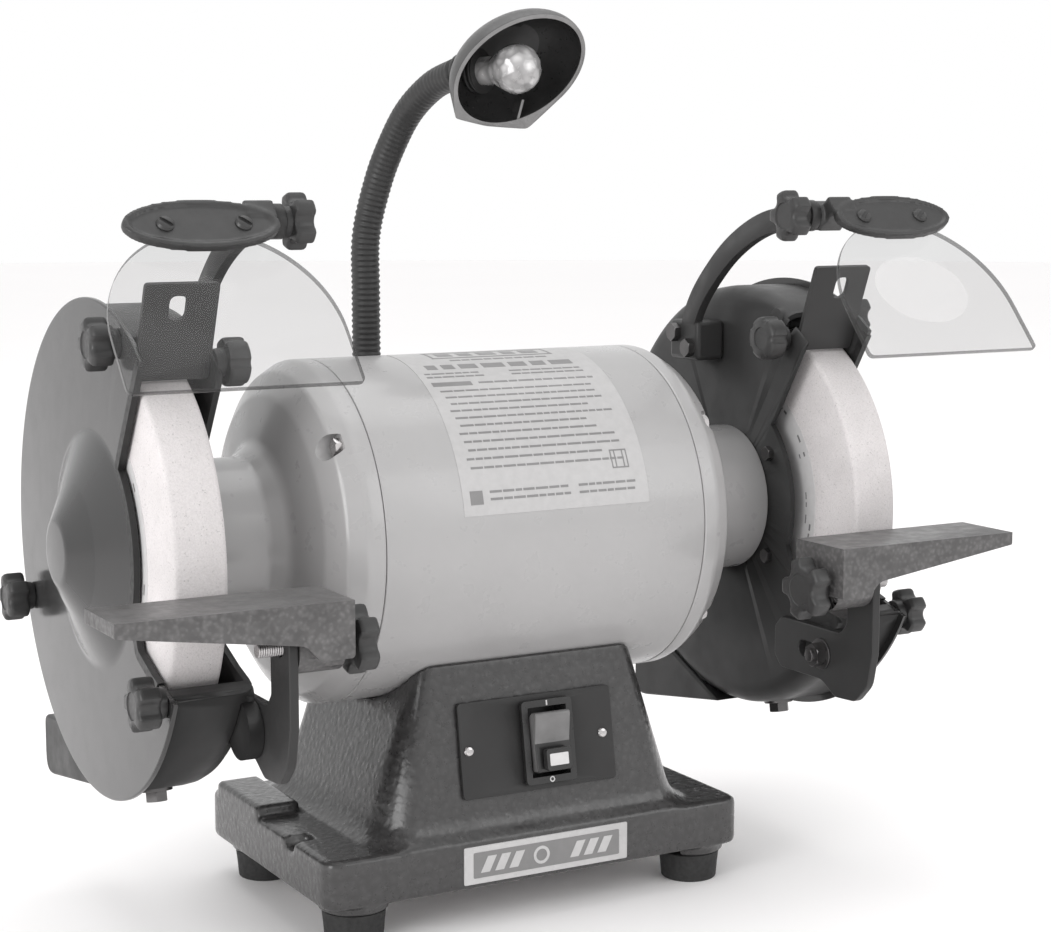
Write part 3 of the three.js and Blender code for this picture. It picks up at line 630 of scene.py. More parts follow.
def bulb_glass(name):
    """Reflector bulb: crinkled bright glass."""
    f = Finish(name, metallic=0.25, Coat_Weight=0.6, Coat_Roughness=0.05)
    facets = f.cells(7, "F1")
    f.colour(f.shades(facets, (0.05, 0.8), (0.45, 0.42), (0.9, 0.3)))
    f.worn(3, 3, 0.1, 0.3)
    f.bump(facets, 1.2)
    return f.material


def copper_wire(name):
    f = Finish(name, metallic=0.8)
    turns = f.noise(1.2, 2, stretch=(1, 0.1, 0.1))
    f.colour(f.shades(turns, (0.3, (0.2, 0.07, 0.02)), (0.7, (0.5, 0.22, 0.08))))
    f.roughness(f.graded(turns, 0.25, 0.5))
    f.bump(turns, 0.3)
    return f.material


def printed(name, tone, rough=0.45):
    """Printed film or ink."""
    f = Finish(name, Coat_Weight=0.15)
    f.colour(f.patches(4, 5, tone * 0.92, tone))
    f.worn(12, 4, rough * 0.8, rough * 1.2)
    f.bump(f.noise(3, 2), 0.008)
    return f.material


MOTOR_PAINT = enamel("motor_paint", 0.36, 0.3, 0.008, coat=0.35)
GUARD_PAINT = enamel("guard_paint", 0.03, 0.42, 0.012, coat=0, shine=0.3)
COVER_PAINT = enamel("cover_paint", 0.035, 0.2, 0.004, coat=0.15, shine=0.4)
CASTING = hammered("hammered_paint", 0.04)
REST_SIDE = cast_iron("rest_side", 0.115, 0.5, 0.16)
REST_TOP = ground_face("rest_top", 0.17)
KNOB = moulded("knob_plastic", 0.028, 0.4)
BLACK = moulded("black_plastic", 0.022, 0.32, depth=0.012)
HOOD_OUTSIDE = moulded("hood_plastic", 0.06, 0.36, 0.5, 0.03)
HOOD_LIP = moulded("hood_lip", 0.2, 0.42, 0.5, 0.03)
HOSE = moulded("hose_sleeve", 0.022, 0.48)
TRIM = moulded("edge_trim", 0.012, 0.45)
ROCKER = moulded("rocker_plastic", 0.16, 0.38, depth=0.01)
RUBBER = moulded("rubber", 0.02, 0.75, 0.6, 0.04)
STEEL = metal("steel", 0.5, 0.32, (0.05, 1, 1))
DARK_STEEL = metal("dark_steel", 0.15, 0.38)
PLATED = metal("plated_steel", 0.62, 0.22)
SHEET = metal("zinc_sheet", 0.45, 0.4, (1, 0.06, 1))
ALUMINIUM = metal("aluminium", 0.6, 0.3, (0.05, 1, 1))
COPPER = copper_wire("windings")
ABRASIVE = grit("abrasive")
CLEAR = clear("clear_pane", 0.05, 0.14)
# The pane's edge faces get a near-black, nearly opaque tone: painted shade for the dark line along a
# clear edge.
PANE_EDGE_PAINTED_SHADE = clear("pane_edge_painted_shade", 0.03, 0.7, 0.15)
# The lens's near-white tone is a painted sheen, so it reads lighter than the clear pane around it.
LENS_PAINTED_SHEEN = clear("lens", 0.85, 0.09)
BULB = bulb_glass("bulb_glass")
PAPER = printed("label_film", 0.62)
RATING_FILM = printed("rating_film", 0.45)
INK = printed("label_ink", 0.2)
PLATE = printed("plate_face", 0.5, 0.3)

# ---------------------------------------------------------------- camera, floor and lights


def stage_and_light():
    data = bpy.data.cameras.new("camera")
    data.lens, data.sensor_width, data.sensor_fit = 74.88, 36, "HORIZONTAL"
    data.clip_start, data.clip_end = 0.05, 60
    camera = bpy.data.objects.new("camera", data)
    bpy.context.scene.collection.objects.link(camera)
    camera.location = (-0.5283, -0.9858, 0.3679)
    camera.rotation_euler = [math.radians(a) for a in (90 - 7.461, 0.062, -29.159)]
    bpy.context.scene.camera = camera

    bm = bmesh.new()
    bmesh.ops.create_circle(bm, cap_ends=True, segments=128, radius=9.0)
    mesh = bpy.data.meshes.new("floor")
    bm.to_mesh(mesh)
    bm.free()
    floor = solid(mesh, "floor")
    f = Finish("floor_paint", 0.65)
    f.colour(f.patches(900, 3, 0.97, 0.98))
    f.bump(f.noise(8, 2), 0.01)
    mesh.materials.append(f.material)

    def softbox(name, place, target, size, power):
        light = bpy.data.lights.new(name, "AREA")
        light.shape, light.size, light.size_y, light.energy = "RECTANGLE", *size, power
        obj = bpy.data.objects.new(name, light)
        bpy.context.scene.collection.objects.link(obj)
        obj.location = place
        aim = Vector(target) - Vector(place)
        obj.rotation_euler = aim.to_track_quat("-Z", "Y").to_euler()

    softbox("key", (-2.1, -0.9, 0.85), (0, 0, 0.2), (1.1, 1.5), 24)
    softbox("fill", (1.7, -2.3, 1.5), (0, 0, 0.15), (1.6, 1.6), 13)
    softbox("top", (0.1, 0.4, 2.4), (0, 0, 0.2), (2.2, 1.6), 15)

    world = bpy.data.worlds.new("studio")
    bpy.context.scene.world = world
    world.use_nodes = True
    background = world.node_tree.nodes["Background"]
    background.inputs["Color"].default_value = (1, 1, 1, 1)
    background.inputs["Strength"].default_value = 1
    bpy.context.scene.view_settings.view_transform = "Standard"


stage_and_light()

# ---------------------------------------------------------------- base and switch

BASE_TOP, BASE_BOTTOM, BASE_FRONT, BASE_BACK = -147, -172, -83, 72
PEDESTAL_TOP = -56
LAMP_FOOT = (-12.5, 100)


def pedestal_ring(z, grow=0.0):
    """The pedestal's outline at a height: rounded corners that meet the front at a crisp line."""
    t = (z - BASE_TOP) / (PEDESTAL_TOP - BASE_TOP)
    half = 88 - 28 * t + grow
    front, back = -77 + 15 * t - grow, 61 - 6 * t + grow
    side = 24 - 15 * t
    front_part = 0.62 * side
    radius = (front_part ** 2 + side ** 2) / (2 * front_part)
    start = math.asin(min(1, side / radius))
    right = []
    for i in range(9):
        angle = start * (1 - i / 8)
        right.append((half - radius + radius * math.cos(angle),
                      front + side - radius * math.sin(angle)))
    rear = 13
    for i in range(7):
        angle = math.pi / 2 * i / 6
        right.append((half - rear + rear * math.cos(angle), back - rear + rear * math.sin(angle)))
    return right + [(-x, y) for x, y in reversed(right)]


def lofted(rings):
    """A closed body through outlines [x, y] at heights."""
    return skinned([[(x, y, z) for x, y in ring] for z, ring in rings])


PANEL_Z = -105
PANEL_LEAN = math.atan2(15, PEDESTAL_TOP - BASE_TOP)
PANEL_Y = -77 + 15 * (PANEL_Z - BASE_TOP) / (PEDESTAL_TOP - BASE_TOP)
PANEL = Matrix.Translation((0, PANEL_Y, PANEL_Z)) @ Matrix.Rotation(-PANEL_LEAN, 4, "X")
SWITCH_X = 5
GLAND = (-70, -159.5)             # the cord gland's X and Z


def middle_of(x, y, z):
    """A frame at the middle of a box's X and Y, whose X points up."""
    return aimed(((x[0] + x[1]) / 2, (y[0] + y[1]) / 2, z), (0, 0, 1))


def base_casting():
    flare = [(BASE_TOP - 1, 6), (-146, 4.2), (-144.5, 2.4), (-142.5, 1.1), (-139, 0.2), (-135, 0)]
    rings = [(z, pedestal_ring(z, grow)) for z, grow in flare]
    body = lofted(rings + [(z, pedestal_ring(z)) for z in (-120, -100, -80, PEDESTAL_TOP)])
    left, right = BASE_X
    width, depth = right - left, BASE_BACK - BASE_FRONT
    middle = Matrix.Translation(((left + right) / 2, (BASE_BACK + BASE_FRONT) / 2, 0))
    flange = prism(rectangle(width, depth, 10), BASE_BOTTOM, BASE_TOP, "z", middle)
    bevelled(flange, 2.6, segments=3)
    parts = [flange]
    for x, y, _ in FEET:
        profile = [(0, 0), (18, 0, 1.5), (18, 3.5), (20.5, 6), (20.5, 20), (0, 20)]
        parts.append(turned(profile, 64, middle_of(x, y, -177)))
    for x in ((left + 0.2, left + 24), (right - 24, right - 0.2)):
        parts.append(bevelled(block(x, (5, BASE_BACK - 10), (BASE_TOP - 3, -141)), 2, segments=3))
    x, y = LAMP_FOOT
    parts.append(bevelled(block((x - 9, x + 9), (50, y), (-128, -114)), 2.5))
    socket = [(0, 0), (14, 0, 2), (14, 24, 2), (0, 24)]
    parts.append(turned(socket, 64, aimed((x, y, -130), (0, 0, 1))))
    body = join(body, *parts)
    pocket = prism(rectangle(width - 20, depth - 20, 8), -180, BASE_TOP - 6, "z", middle)
    hollow = lofted([(z, [(a * 0.93, b * 0.9 - 0.8) for a, b in pedestal_ring(z)])
                     for z in (BASE_TOP - 7, -97)])
    saddle = rod(MOTOR_R + 0.3, (-130, 130), steps=ROUND)
    bore = bar(8.5, (x, y, -126), (x, y, -100))
    gland = bar(6.4, (GLAND[0], 40, GLAND[1]), (GLAND[0], 86, GLAND[1]))
    opening = block((SWITCH_X - 12.5, SWITCH_X + 12.5), (-8, 29), (-19, 19), PANEL)
    notch = block((-130, -109), (-41, -31), (-152, -140))
    body = cut(body, pocket, hollow, saddle, bore, gland, opening, notch)
    return cast(body, 1.5, 3)


keep(base_casting(), "base_shell", "base", CASTING, "hammered_paint", ["base_casting"])


def foot(x, y):
    profile = [(0, 0), (12.6, 0), (14.5, 0, 1.2), (15.2, 8), (16, 14.7, 0.8), (6, 14.7), (0, 14.7)]
    at = middle_of(x, y, BASE_FLOOR)
    return cut(turned(profile, 72, at), bar(4.2, at.translation, at @ Vector((2.4, 0, 0))))


for row, i in (("front", 0), ("rear", 2)):
    for side, j in (("left", 0), ("right", 1)):
        keep(foot(*FEET[i + j][:2]), f"rubber_foot_{row}_{side}", "base", RUBBER, "rubber",
             [f"foot_{row}_{side}"])


def name_plate():
    at = Matrix.Translation((-1, 0, -159.5))
    plate = bevelled(prism(rectangle(94, 19, 1.0), -83.75, -82.6, "y", at), 0.25)
    field = prism(rectangle(84, 13, 0.8), -83.9, -83.5, "y", at)
    stripes = [prism([(x, -4), (x + 5, -4), (x + 9, 4), (x + 4, 4)], -84.0, -83.7, "y", at)
               for x in (-38, -30, -22, 13, 21, 29)]
    wheel_mark = turned([(3.1, -0.1), (4.6, -0.1), (4.6, 0.2), (3.1, 0.2)], 48,
                        aimed((-4.5, -83.85, -159.5), (0, -1, 0)), closed=True)
    return plate, field, gathered(*stripes, wheel_mark)


PLATE_PARTS = name_plate()
for body, name, material in zip(PLATE_PARTS, ("name_plate", "name_plate_field", "name_plate_marks"),
                                (PLATE, INK, PLATE)):
    keep(body, name, "base", material, "zinc_sheet")


def on_panel(body):
    body.data.transform(PANEL)
    return body


def screw_head(radius, height, place, direction):
    """A domed screw head with a slot, standing on a surface."""
    profile = [(0, -0.6), (radius, -0.6), (radius, height * 0.3), (radius * 0.8, height * 0.8),
               (radius * 0.45, height), (0, height)]
    at = aimed(place, direction)
    deep = (height * 0.45, height + 1)
    slot = block(deep, (-radius, radius), (-0.25 * radius, 0.25 * radius), at)
    return cut(turned(profile, 40, at), slot)


def switch_parts():
    plate = prism(rectangle(88, 48, 2.5), -2.3, -0.3, "y")
    plate = cut(plate, block((SWITCH_X - 12.5, SWITCH_X + 12.5), (-5, 5), (-19, 19)))
    keep(on_panel(bevelled(plate, 0.7, segments=3)), "switch_panel", "base", GUARD_PAINT,
         "dark_paint", ["switch_plate"])
    screws = [screw_head(2.6, 1.5, (x, -2.3, 0), (0, -1, 0)) for x in (-39.5, 37.5)]
    keep(on_panel(gathered(*screws)), "switch_panel_screws", "base", PLATED, "steel", bevel=0.12)

    x = SWITCH_X
    bezel = prism([(a + x, b) for a, b in rectangle(29, 42, 2.5)], -5.1, -2.6, "y")
    can = block((x - 11.9, x + 11.9), (-3.6, 28), (-18.4, 18.4))
    body = cut(join(bezel, can), block((x - 11, x + 11), (-8, 8), (-17.5, 17.5)))
    keep(on_panel(body), "switch_body", "base", BLACK, "black_plastic", ["switch_housing"],
         bevel=0.5)
    bar_mark = prism([(a + x, b + 19.25) for a, b in rectangle(0.8, 2.6, 0.2)], -5.2, -5.0, "y")
    ring = turned([(0.85, -0.05), (1.45, -0.05), (1.45, 0.12), (0.85, 0.12)], 40,
                  aimed((x, -5.1, -19.25), (0, -1, 0)), closed=True)
    keep(on_panel(gathered(bar_mark, ring)), "switch_marks", "base", PAPER, "switch_plastic")

    outline = [(5, -8), (5, 8), (-6.5, 15, 0.8), (-11.5, 15, 1.6), (-8.2, 0.5, 6), (-9.5, -15, 1.5),
               (-5, -15, 0.8)]
    rocker = prism(filleted(outline), x - 10, x + 10)
    rocker = cut(rocker, block((x - 5.5, x + 5.5), (-20, -3), (-11.5, -4.5)))
    bevelled(rocker, 0.6)
    paint_faces(rocker, 1, lambda centre, normal: centre.z < -1.0)
    keep(on_panel(rocker), "switch_rocker", "paddle", [ROCKER, BLACK], "switch_plastic",
         ["switch_paddle"])

    tongue = block((x - 5.1, x + 5.1), (-10.5, -3.5), (-11.1, -4.9))
    grip = prism([(a + x, b - 8.5) for a, b in rectangle(14, 11, 1.8)], -14, -10.4, "y")
    keep(on_panel(join(grip, tongue)), "lockout_grip", "key", BLACK, "black_plastic",
         ["lockout_key"], bevel=0.6)
    tag = prism([(a + x, b - 8.5) for a, b in rectangle(10.6, 6, 0.6)], -14.12, -13.9, "y")
    keep(on_panel(tag), "lockout_tag", "key", PAPER, "switch_plastic")


switch_parts()


def strain_relief():
    start = BASE_BACK + 0.3
    ribs = []
    for i in range(6):
        y = start + 7.5 + i * 3
        r = 6.9 - 0.28 * i
        ribs += [(r, y), (r, y + 1.5), (r - 0.9, y + 1.7), (r - 0.9, y + 2.8)]
    profile = [(4, start - 14), (6, start - 14), (6, start), (10, start, 0.8), (10, start + 5, 1.5),
               (7.2, start + 6), *ribs, (4, start + 26)]
    at = Matrix.Translation((GLAND[0], 0, GLAND[1])) @ Matrix.Rotation(math.pi / 2, 4, "Z")
    return turned(profile, 48, at, closed=True)


keep(strain_relief(), "strain_relief", "base", RUBBER, "rubber", ["cord_gland"], bevel=0.2)

# ---------------------------------------------------------------- motor

BOLT_CIRCLE, BOLT_ANGLES = 79.5, (39, 141, 219, 321)


def motor_shell():
    end = MOTOR_HALF
    profile = [(MOTOR_R, -end, 0.9), (MOTOR_R, end, 0.9), (MOTOR_R - 7, end), (MOTOR_R - 7, -end)]
    return turned(profile, 192, closed=True)


def end_bell():
    start = MOTOR_HALF + 0.3
    profile = [(80, start), (MOTOR_R, start, 0.9), (MOTOR_R, 98.5, 8), (81.5, 107.6, 7),
               (70, 114.6, 12), (46, 120.5, 9), (NECK_R, 130, 7), (NECK_R, NECK_END, 0.8),
               (34, NECK_END), (34, 138.3), (14, 138.3), (14, 134.3), (26.3, 134.3), (26.3, 112),
               (62, 108), (76, 98)]
    body = turned(profile, 192, closed=True, corner=7)
    for angle in BOLT_ANGLES:
        body = cut(body, rod(6.3, (102.5, 120), *ahead(BOLT_CIRCLE, angle), 40))
    return body


keep(motor_shell(), "motor_body", "base", MOTOR_PAINT, "light_paint", ["motor_shell"])
keep_pair(end_bell, "motor_bell", "base", MOTOR_PAINT, "light_paint", ["end_bell"], bevel=0.5)
keep_pair(lambda: gathered(*[hexagon(7.5, (101.8, 106.2), *ahead(BOLT_CIRCLE, angle))
                             for angle in BOLT_ANGLES]), "motor_bolts", "base", PLATED, "steel")


def wrapped(x, angles, radii):
    """A patch that follows the motor's round side."""
    steps = max(1, int(abs(angles[1] - angles[0]) / 2) + 1)
    inner, outer = [arc(r, angles[0], angles[1], steps) for r in radii]
    return prism(inner + outer[::-1], *x)


def rating_label():
    film = wrapped((-48, 57), (10, 90), (MOTOR_R - 0.1, MOTOR_R + 0.22))
    random.seed(7)
    ink = []

    def mark(x, angles):
        ink.append(wrapped(x, angles, (MOTOR_R + 0.1, MOTOR_R + 0.3)))

    def row(x, angle, tall, words):
        at = x[0]
        while at < x[1] - words[0]:
            word = min(random.uniform(*words), x[1] - at)
            mark((at, at + word), (angle, angle + tall))
            at += word + tall * 0.9

    mark((-30, 40), (87.3, 88.3))
    mark((-30, 40), (79.0, 80.0))
    for x in (-30, 38.6):
        mark((x, x + 1.4), (79, 88.3))
    row((-25, 36), 81.6, 4.2, (7, 12))
    row((-22, 34), 76.0, 1.1, (4, 9))
    row((-40, 50), 69.2, 3.4, (5, 13))
    for angle in (65.8, 63.6):
        row((-44, -12), angle, 0.8, (3, 8))
        row((4, 46), angle, 0.8, (3, 8))
    mark((-44, -22), (58.6, 60.8))
    row((-18, 50), 59.4, 0.9, (3, 9))
    for i in range(11):
        row((-42 + (i % 3), random.uniform(34, 50)), 55.6 - 3.05 * i, 0.75, (3, 8))
    mark((-44, -37), (13.5, 18))
    for angle in (17, 14.6):
        row((-33, 12), angle, 0.8, (3, 7))
        row((17, 50), angle, 0.8, (3, 7))
    for x in (38.2, 47.2, 40.4, 45.0):
        mark((x, x + 0.7), (22.5, 28))
    mark((38.2, 47.9), (28, 28.5))
    mark((38.2, 47.9), (22, 22.5))
    return film, gathered(*ink)


FILM, PRINT = rating_label()
keep(FILM, "rating_label", "base", RATING_FILM, "light_paint")
keep(PRINT, "rating_label_print", "base", INK, "light_paint")

# ---------------------------------------------------------------- wheels


def wheel():
    x0, x1 = WHEEL_X
    profile = [(8.1, x0), (WHEEL_R, x0, 2.4), (WHEEL_R, x1, 2.4), (8.1, x1)]
    return turned(profile, 192, closed=True, corner=3)


def blotters():
    x0, x1 = WHEEL_X
    rings = []
    for low, high in ((x0 - 0.25, x0 + 0.05), (x1 - 0.05, x1 + 0.25)):
        rings.append(turned([(9, low), (66, low), (66, high), (9, high)], ROUND, closed=True))
    return gathered(*rings)


def blotter_print():
    """Rows of short bars near the edge of each blotter, as its printed limits."""
    random.seed(11)
    marks = []
    for low, high in ((WHEEL_X[0] - 0.32, WHEEL_X[0]), (WHEEL_X[1], WHEEL_X[1] + 0.32)):
        for radius, tall in ((61.5, 1.3), (57.5, 0.9)):
            angle = 0.0
            while angle < 352:
                wide = random.uniform(2, 5)
                if random.random() < 0.4:
                    outline = (arc(radius, angle, angle + wide, 2)
                               + arc(radius + tall, angle, angle + wide, 2)[::-1])
                    marks.append(prism(outline, low, high))
                angle += wide + 1.6
    return gathered(*marks)


keep_pair(wheel, "grinding_wheel", "spindle", ABRASIVE, "abrasive", ["wheel"])
keep_pair(blotters, "wheel_blotters", "spindle", PAPER, "abrasive")
keep_pair(blotter_print, "blotter_print", "spindle", INK, "abrasive")

# ---------------------------------------------------------------- wheel guards and covers

FRONT_OPENING = [
    (-95, 130, 4), (-73, 94, 4), *arc(60, 47, -20, 16), (-63, -38, 4), (-82, -46, 4),
    (-107, -54, 4), (-150, -62, 4), (-190, -62, 4), (-190, 130, 4),
]
PORT_OUTER = [(8, -120), (97, -134, 10), (97, -102, 6), (60, -98)]
PORT_INNER = [(20, -112), (98, -130.8), (98, -105.2), (55, -98)]
DEFLECTOR_LEAN = math.radians(21.4)
DEFLECTOR_AT = (-66, 108)
DEFLECTOR_X = (166.4, 202)
DEFLECTOR_STUD = tuple(pivot("deflector_knob_turn_right"))[1:]
STUD = (-96, -72)                 # the stud that the rest's bracket slides on


def along_deflector(distance):
    y, z = DEFLECTOR_STUD
    return y - distance * math.sin(DEFLECTOR_LEAN), z + distance * math.cos(DEFLECTOR_LEAN)


def at_posts(radius, low, high):
    """A rod where each cover knob screws in."""
    return [rod(radius, (low, high), *post[1:]) for post in POSTS.values()]


def guard():
    x0, x1 = GUARD_IN, GUARD_OUT
    inside = PAN_R - GUARD_WALL
    pan = turned([(0, x0), (PAN_R, x0, 12), (PAN_R, x1), (0, x1)])
    port = prism(filleted(PORT_OUTER), x0, x1)
    room = turned([(0, x0 + GUARD_WALL), (inside, x0 + GUARD_WALL, 9), (inside, x1 + 1), (0, x1 + 1)])
    duct = prism(PORT_INNER, x0 + GUARD_WALL, x1 - GUARD_WALL)
    body = cut(join(pan, bevelled(port, 1.6, segments=3)), room, duct)
    body = cut(body, rod(22, (x0 - 1, x0 + 5), steps=64))
    body = join(body, *at_posts(5.5, x0 + 1, x1))
    band_end = prism(arc(100, 50, 63.5, 4) + arc(130, 63.5, 50, 4), x0 + GUARD_WALL, x1 + 1)
    slot = prism(slot_outline(along_deflector(-1), along_deflector(9), 3), x0 - 1, x0 + 5)
    body = cut(body, prism(filleted(FRONT_OPENING), x0 - 1, x1 + 1), band_end, slot)
    body = join(body, rod(14, (x0, x0 + 7), *STUD, 48))
    return cut(body, *at_posts(3.3, x1 - 14, x1 + 1))


def guard_fixings():
    """Hub screws, and the bracket's stud with its nut."""
    x = GUARD_IN
    parts = [hexagon(7, (x - 3.2, x + 0.4), *ahead(49, angle)) for angle in (35, 145, 215, 325)]
    parts.append(rod(3.4, (x - 13.5, x + 1), *STUD, 24, edge=0.5))
    parts.append(hexagon(11, (x - 11.5, x - 6.0), *STUD))
    parts.append(rod(8.2, (x - 6.0, x - 5.0), *STUD, 40, edge=0.3))
    return gathered(*parts)


def band_bolt():
    y, z = ahead(PAN_R, -79)
    at = aimed((184, y, z), (0, y, z))
    head = hexagon(10, (1.4, 6.4))
    head.data.transform(at)
    return gathered(head, turned([(0, -1), (8, -1), (8, 1.4, 0.4), (0, 1.4)], 40, at))


def guard_cover():
    x = GUARD_OUT + 0.3
    outer = [(COVER_R, x), (COVER_R, COVER_FACE, 1.2), (57, COVER_FACE, 12), (33, 214.6, 10),
             (15.5, COVER_TOP - 0.6, 9), (0, COVER_TOP)]
    inner = [(0, COVER_TOP - 2), (15, COVER_TOP - 2.6, 9), (32, 212.7, 10), (56, x, 12),
             (COVER_R - 3, x)]
    edges = [filleted(edge, closed=False, steps=7) for edge in (outer, inner)]
    dish = turned(edges[0] + edges[1], 192, closed=True)
    front = prism(filleted(FRONT_OPENING), GUARD_OUT - 1, COVER_FACE + 2)
    return cut(dish, front, *at_posts(3.4, GUARD_OUT, COVER_FACE + 2))


def shifted(path, distance):
    """Moves an open path of [y, z] points sideways."""
    out = []
    for i, point in enumerate(path):
        a, b = Vector(path[max(i - 1, 0)]), Vector(path[min(i + 1, len(path) - 1)])
        way = (b - a).normalized()
        out.append((point[0] - way.y * distance, point[1] + way.x * distance))
    return out


def edge_trim():
    """Black strip pushed over the edge of the cover's front opening."""
    path = filleted(FRONT_OPENING[:-2], closed=False)
    band = shifted(path, -0.7) + shifted(path, 4.2)[::-1]
    strip = prism(band, COVER_FACE - 2.6, COVER_FACE + 0.7)
    strip = combine(strip, "INTERSECT", rod(COVER_R - 3.2, (200, 215), steps=ROUND))
    return cut(strip, *at_posts(9.5, 200, 215))


keep_pair(guard, "guard_pan", "base", GUARD_PAINT, "dark_paint", ["guard"], bevel=0.6)
keep_pair(guard_fixings, "guard_fixings", "base", DARK_STEEL, "steel")
keep_pair(band_bolt, "band_bolt", "base", DARK_STEEL, "steel")
keep_pair(guard_cover, "guard_lid", "base", COVER_PAINT, "cover_paint", ["guard_cover"])
keep_pair(edge_trim, "edge_trim", "base", TRIM, "black_plastic", bevel=0.5)


def knob(radius, thick, stub, stud_radius, scallop=1.12, hollow=0.4):
    """A five-lobed hand knob. Its head starts at x = 0 and its hub leads towards -X."""
    steps, lobes = 90, 5
    reach = []
    for i in range(steps):
        angle = (i / steps * lobes % 1 - 0.5) * 2 * math.pi / lobes
        offset = scallop * math.sin(angle)
        far = 1.0
        if abs(offset) < hollow:
            far = min(1.0, scallop * math.cos(angle) - math.sqrt(hollow ** 2 - offset ** 2))
        reach.append(far * radius)
    lines = [(0, 2.0), (0.35, 0.9), (1.3, 0.15), (2.4, 0), (thick - 2.6, 0), (thick - 1.4, 0.2),
             (thick - 0.5, 0.9), (thick, 2.4)]
    head = skinned([[(x, (r - inset) * math.cos(t), (r - inset) * math.sin(t))
                     for r, t in zip(reach, around(steps))] for x, inset in lines])
    dish = turned([(0, thick - 0.7), (0.5 * radius, thick - 0.5), (0.56 * radius, thick + 1),
                   (0, thick + 1)], 48)
    hub = turned([(0, -stub), (stud_radius + 4, -stub, 0.8), (stud_radius + 4.6, 1), (0, 1)], 48)
    return join(cut(head, dish), hub)


def knob_stud(radius, start, end):
    """Threaded stud: rings a pitch apart."""
    pitch, profile, x = 1.1, [(0, start)], start
    while x < end - pitch:
        profile += [(radius - 0.35, x), (radius, x + pitch / 2)]
        x += pitch
    return turned(profile + [(radius - 0.35, x), (radius - 0.5, end), (0, end)], 28)


def fitted_knob(side, owner, place, name, x, inwards, sizes, **shape):
    """Places a knob and its stud where the joint turns. inwards: the head faces the motor."""
    _, y, z = pivot(f"{owner}_knob_turn{place}_{side}")
    radius, thick, stub, stud_radius, stud = sizes
    head = knob(radius, thick, stub, stud_radius, **shape)
    screw = knob_stud(stud_radius - 0.05, -stud, 0.5)
    nodes = [f"{owner}_knob{place}_{side}"]
    for body, part, material, slot, replaced in ((head, "", KNOB, "knob_plastic", nodes),
                                                 (screw, "_stud", STEEL, "steel", [])):
        if inwards:
            mirrored(body)
        body.data.transform(Matrix.Translation((x, y, z)))
        if SIDES[side] < 0:
            mirrored(body)
        keep(body, f"{name}{part}_{side}", f"{owner}_screw{place}_{side}", material, slot, replaced)


for side in SIDES:
    for place in POSTS:
        fitted_knob(side, "cover", f"_{place}", f"lid_knob_{place}", COVER_FACE + 4.3, False,
                    (12.5, 11, 4, 3, 20))
    fitted_knob(side, "deflector", "", "deflector_grip", GUARD_IN - 5.3, True,
                (11.5, 11, 5, 2.4, 12.5), scallop=1.2, hollow=0.3)
    fitted_knob(side, "rest", "", "rest_grip", 129.4, True, (16, 10, 4, 3.4, 44))
    fitted_knob(side, "shield", "", "shield_grip", 141.2, True, (13, 10, 3, 3, 18))

# ---------------------------------------------------------------- spark deflectors


def deflector():
    at = Matrix.Translation((0, *DEFLECTOR_AT)) @ Matrix.Rotation(DEFLECTOR_LEAN, 4, "X")
    inner, outer = DEFLECTOR_X
    middle = Matrix.Translation(((inner + outer) / 2, 0, 0))
    plate = prism(rectangle(outer - inner, 48, 2.2), -1.2, 1.2, "y", at @ middle)
    window = prism([(a + 185.5, b + 12) for a, b in rectangle(8.4, 12, 3.6)], -5, 5, "y", at)
    ear = prism(filleted([(-58, 86.5), (-48, 84, 1), (-48.3, 92, 1), (-50.5, 95, 1), (-62, 97.5)]),
                inner, inner + 2.2)
    body = join(cut(plate, window), ear)
    return cut(body, rod(2.8, (inner - 1, inner + 4), *DEFLECTOR_STUD))


keep_pair(deflector, "spark_plate", "deflector", GUARD_PAINT, "dark_paint", ["spark_deflector"],
          bevel=0.5)
keep_pair(lambda: hexagon(8, (DEFLECTOR_X[0] + 2.2, DEFLECTOR_X[0] + 6), *DEFLECTOR_STUD),
          "deflector_nut", "deflector", PLATED, "steel")

# ---------------------------------------------------------------- tool rests

REST_PIVOT = tuple(pivot("rest_tilt_right"))[1:]
REST_INNER, REST_OUTER = span("tool_rest_right")[0]
REST_TOP_Z = span("tool_rest_right")[2][1]
BRACKET_X = (158, 162.6)


def tool_rest():
    x0, x1, top = REST_INNER, REST_OUTER, REST_TOP_Z
    wedge = filleted([(x0, top), (x1, top), (x1, top - 6.5, 1), (157, top - 18.5, 8),
                      (150, top - 26, 3), (x0, top - 26, 2)])
    body = prism(wedge, -145.5, -105.8, "y")
    y, z = REST_PIVOT
    lug = join(rod(12, (x0 + 2, BRACKET_X[0] - 0.3), y, z, 48),
               block((x0 + 2, BRACKET_X[0] - 0.3), (y - 12, y + 12), (z, top - 10)))
    body = join(body, lug)
    body = cut(body, rod(13, (BRACKET_X[0] - 0.3, BRACKET_X[1] + 0.7), y, z, 48),
               rod(3.8, (x0 - 5, BRACKET_X[1]), y, z))
    bevelled(body, 1.0, segments=3)
    return paint_faces(body, 1, lambda c, n: n.z > 0.9 and c.z > top - 0.4)


def rest_bracket():
    y, z = REST_PIVOT
    outline = [*arc(11, 180, 0, 24, y, z), (-139, -64, 8), (-135, -82, 12), (-125, -92, 8),
               (-108, -93, 8), (-96, -86, 10), (-60, -86, 4), (-54, -80, 4), (-54, -64, 4),
               (-60, -58, 4), (-112, -58, 6), (-117, -52, 4)]
    body = prism(filleted(outline), *BRACKET_X)
    slot = prism(slot_outline((STUD[0] + 16, STUD[1]), (STUD[0] - 1.5, STUD[1]), 4.2),
                 BRACKET_X[0] - 1, BRACKET_X[1] + 1)
    return cut(body, slot, rod(3.8, (BRACKET_X[0] - 1, BRACKET_X[1] + 1), y, z))


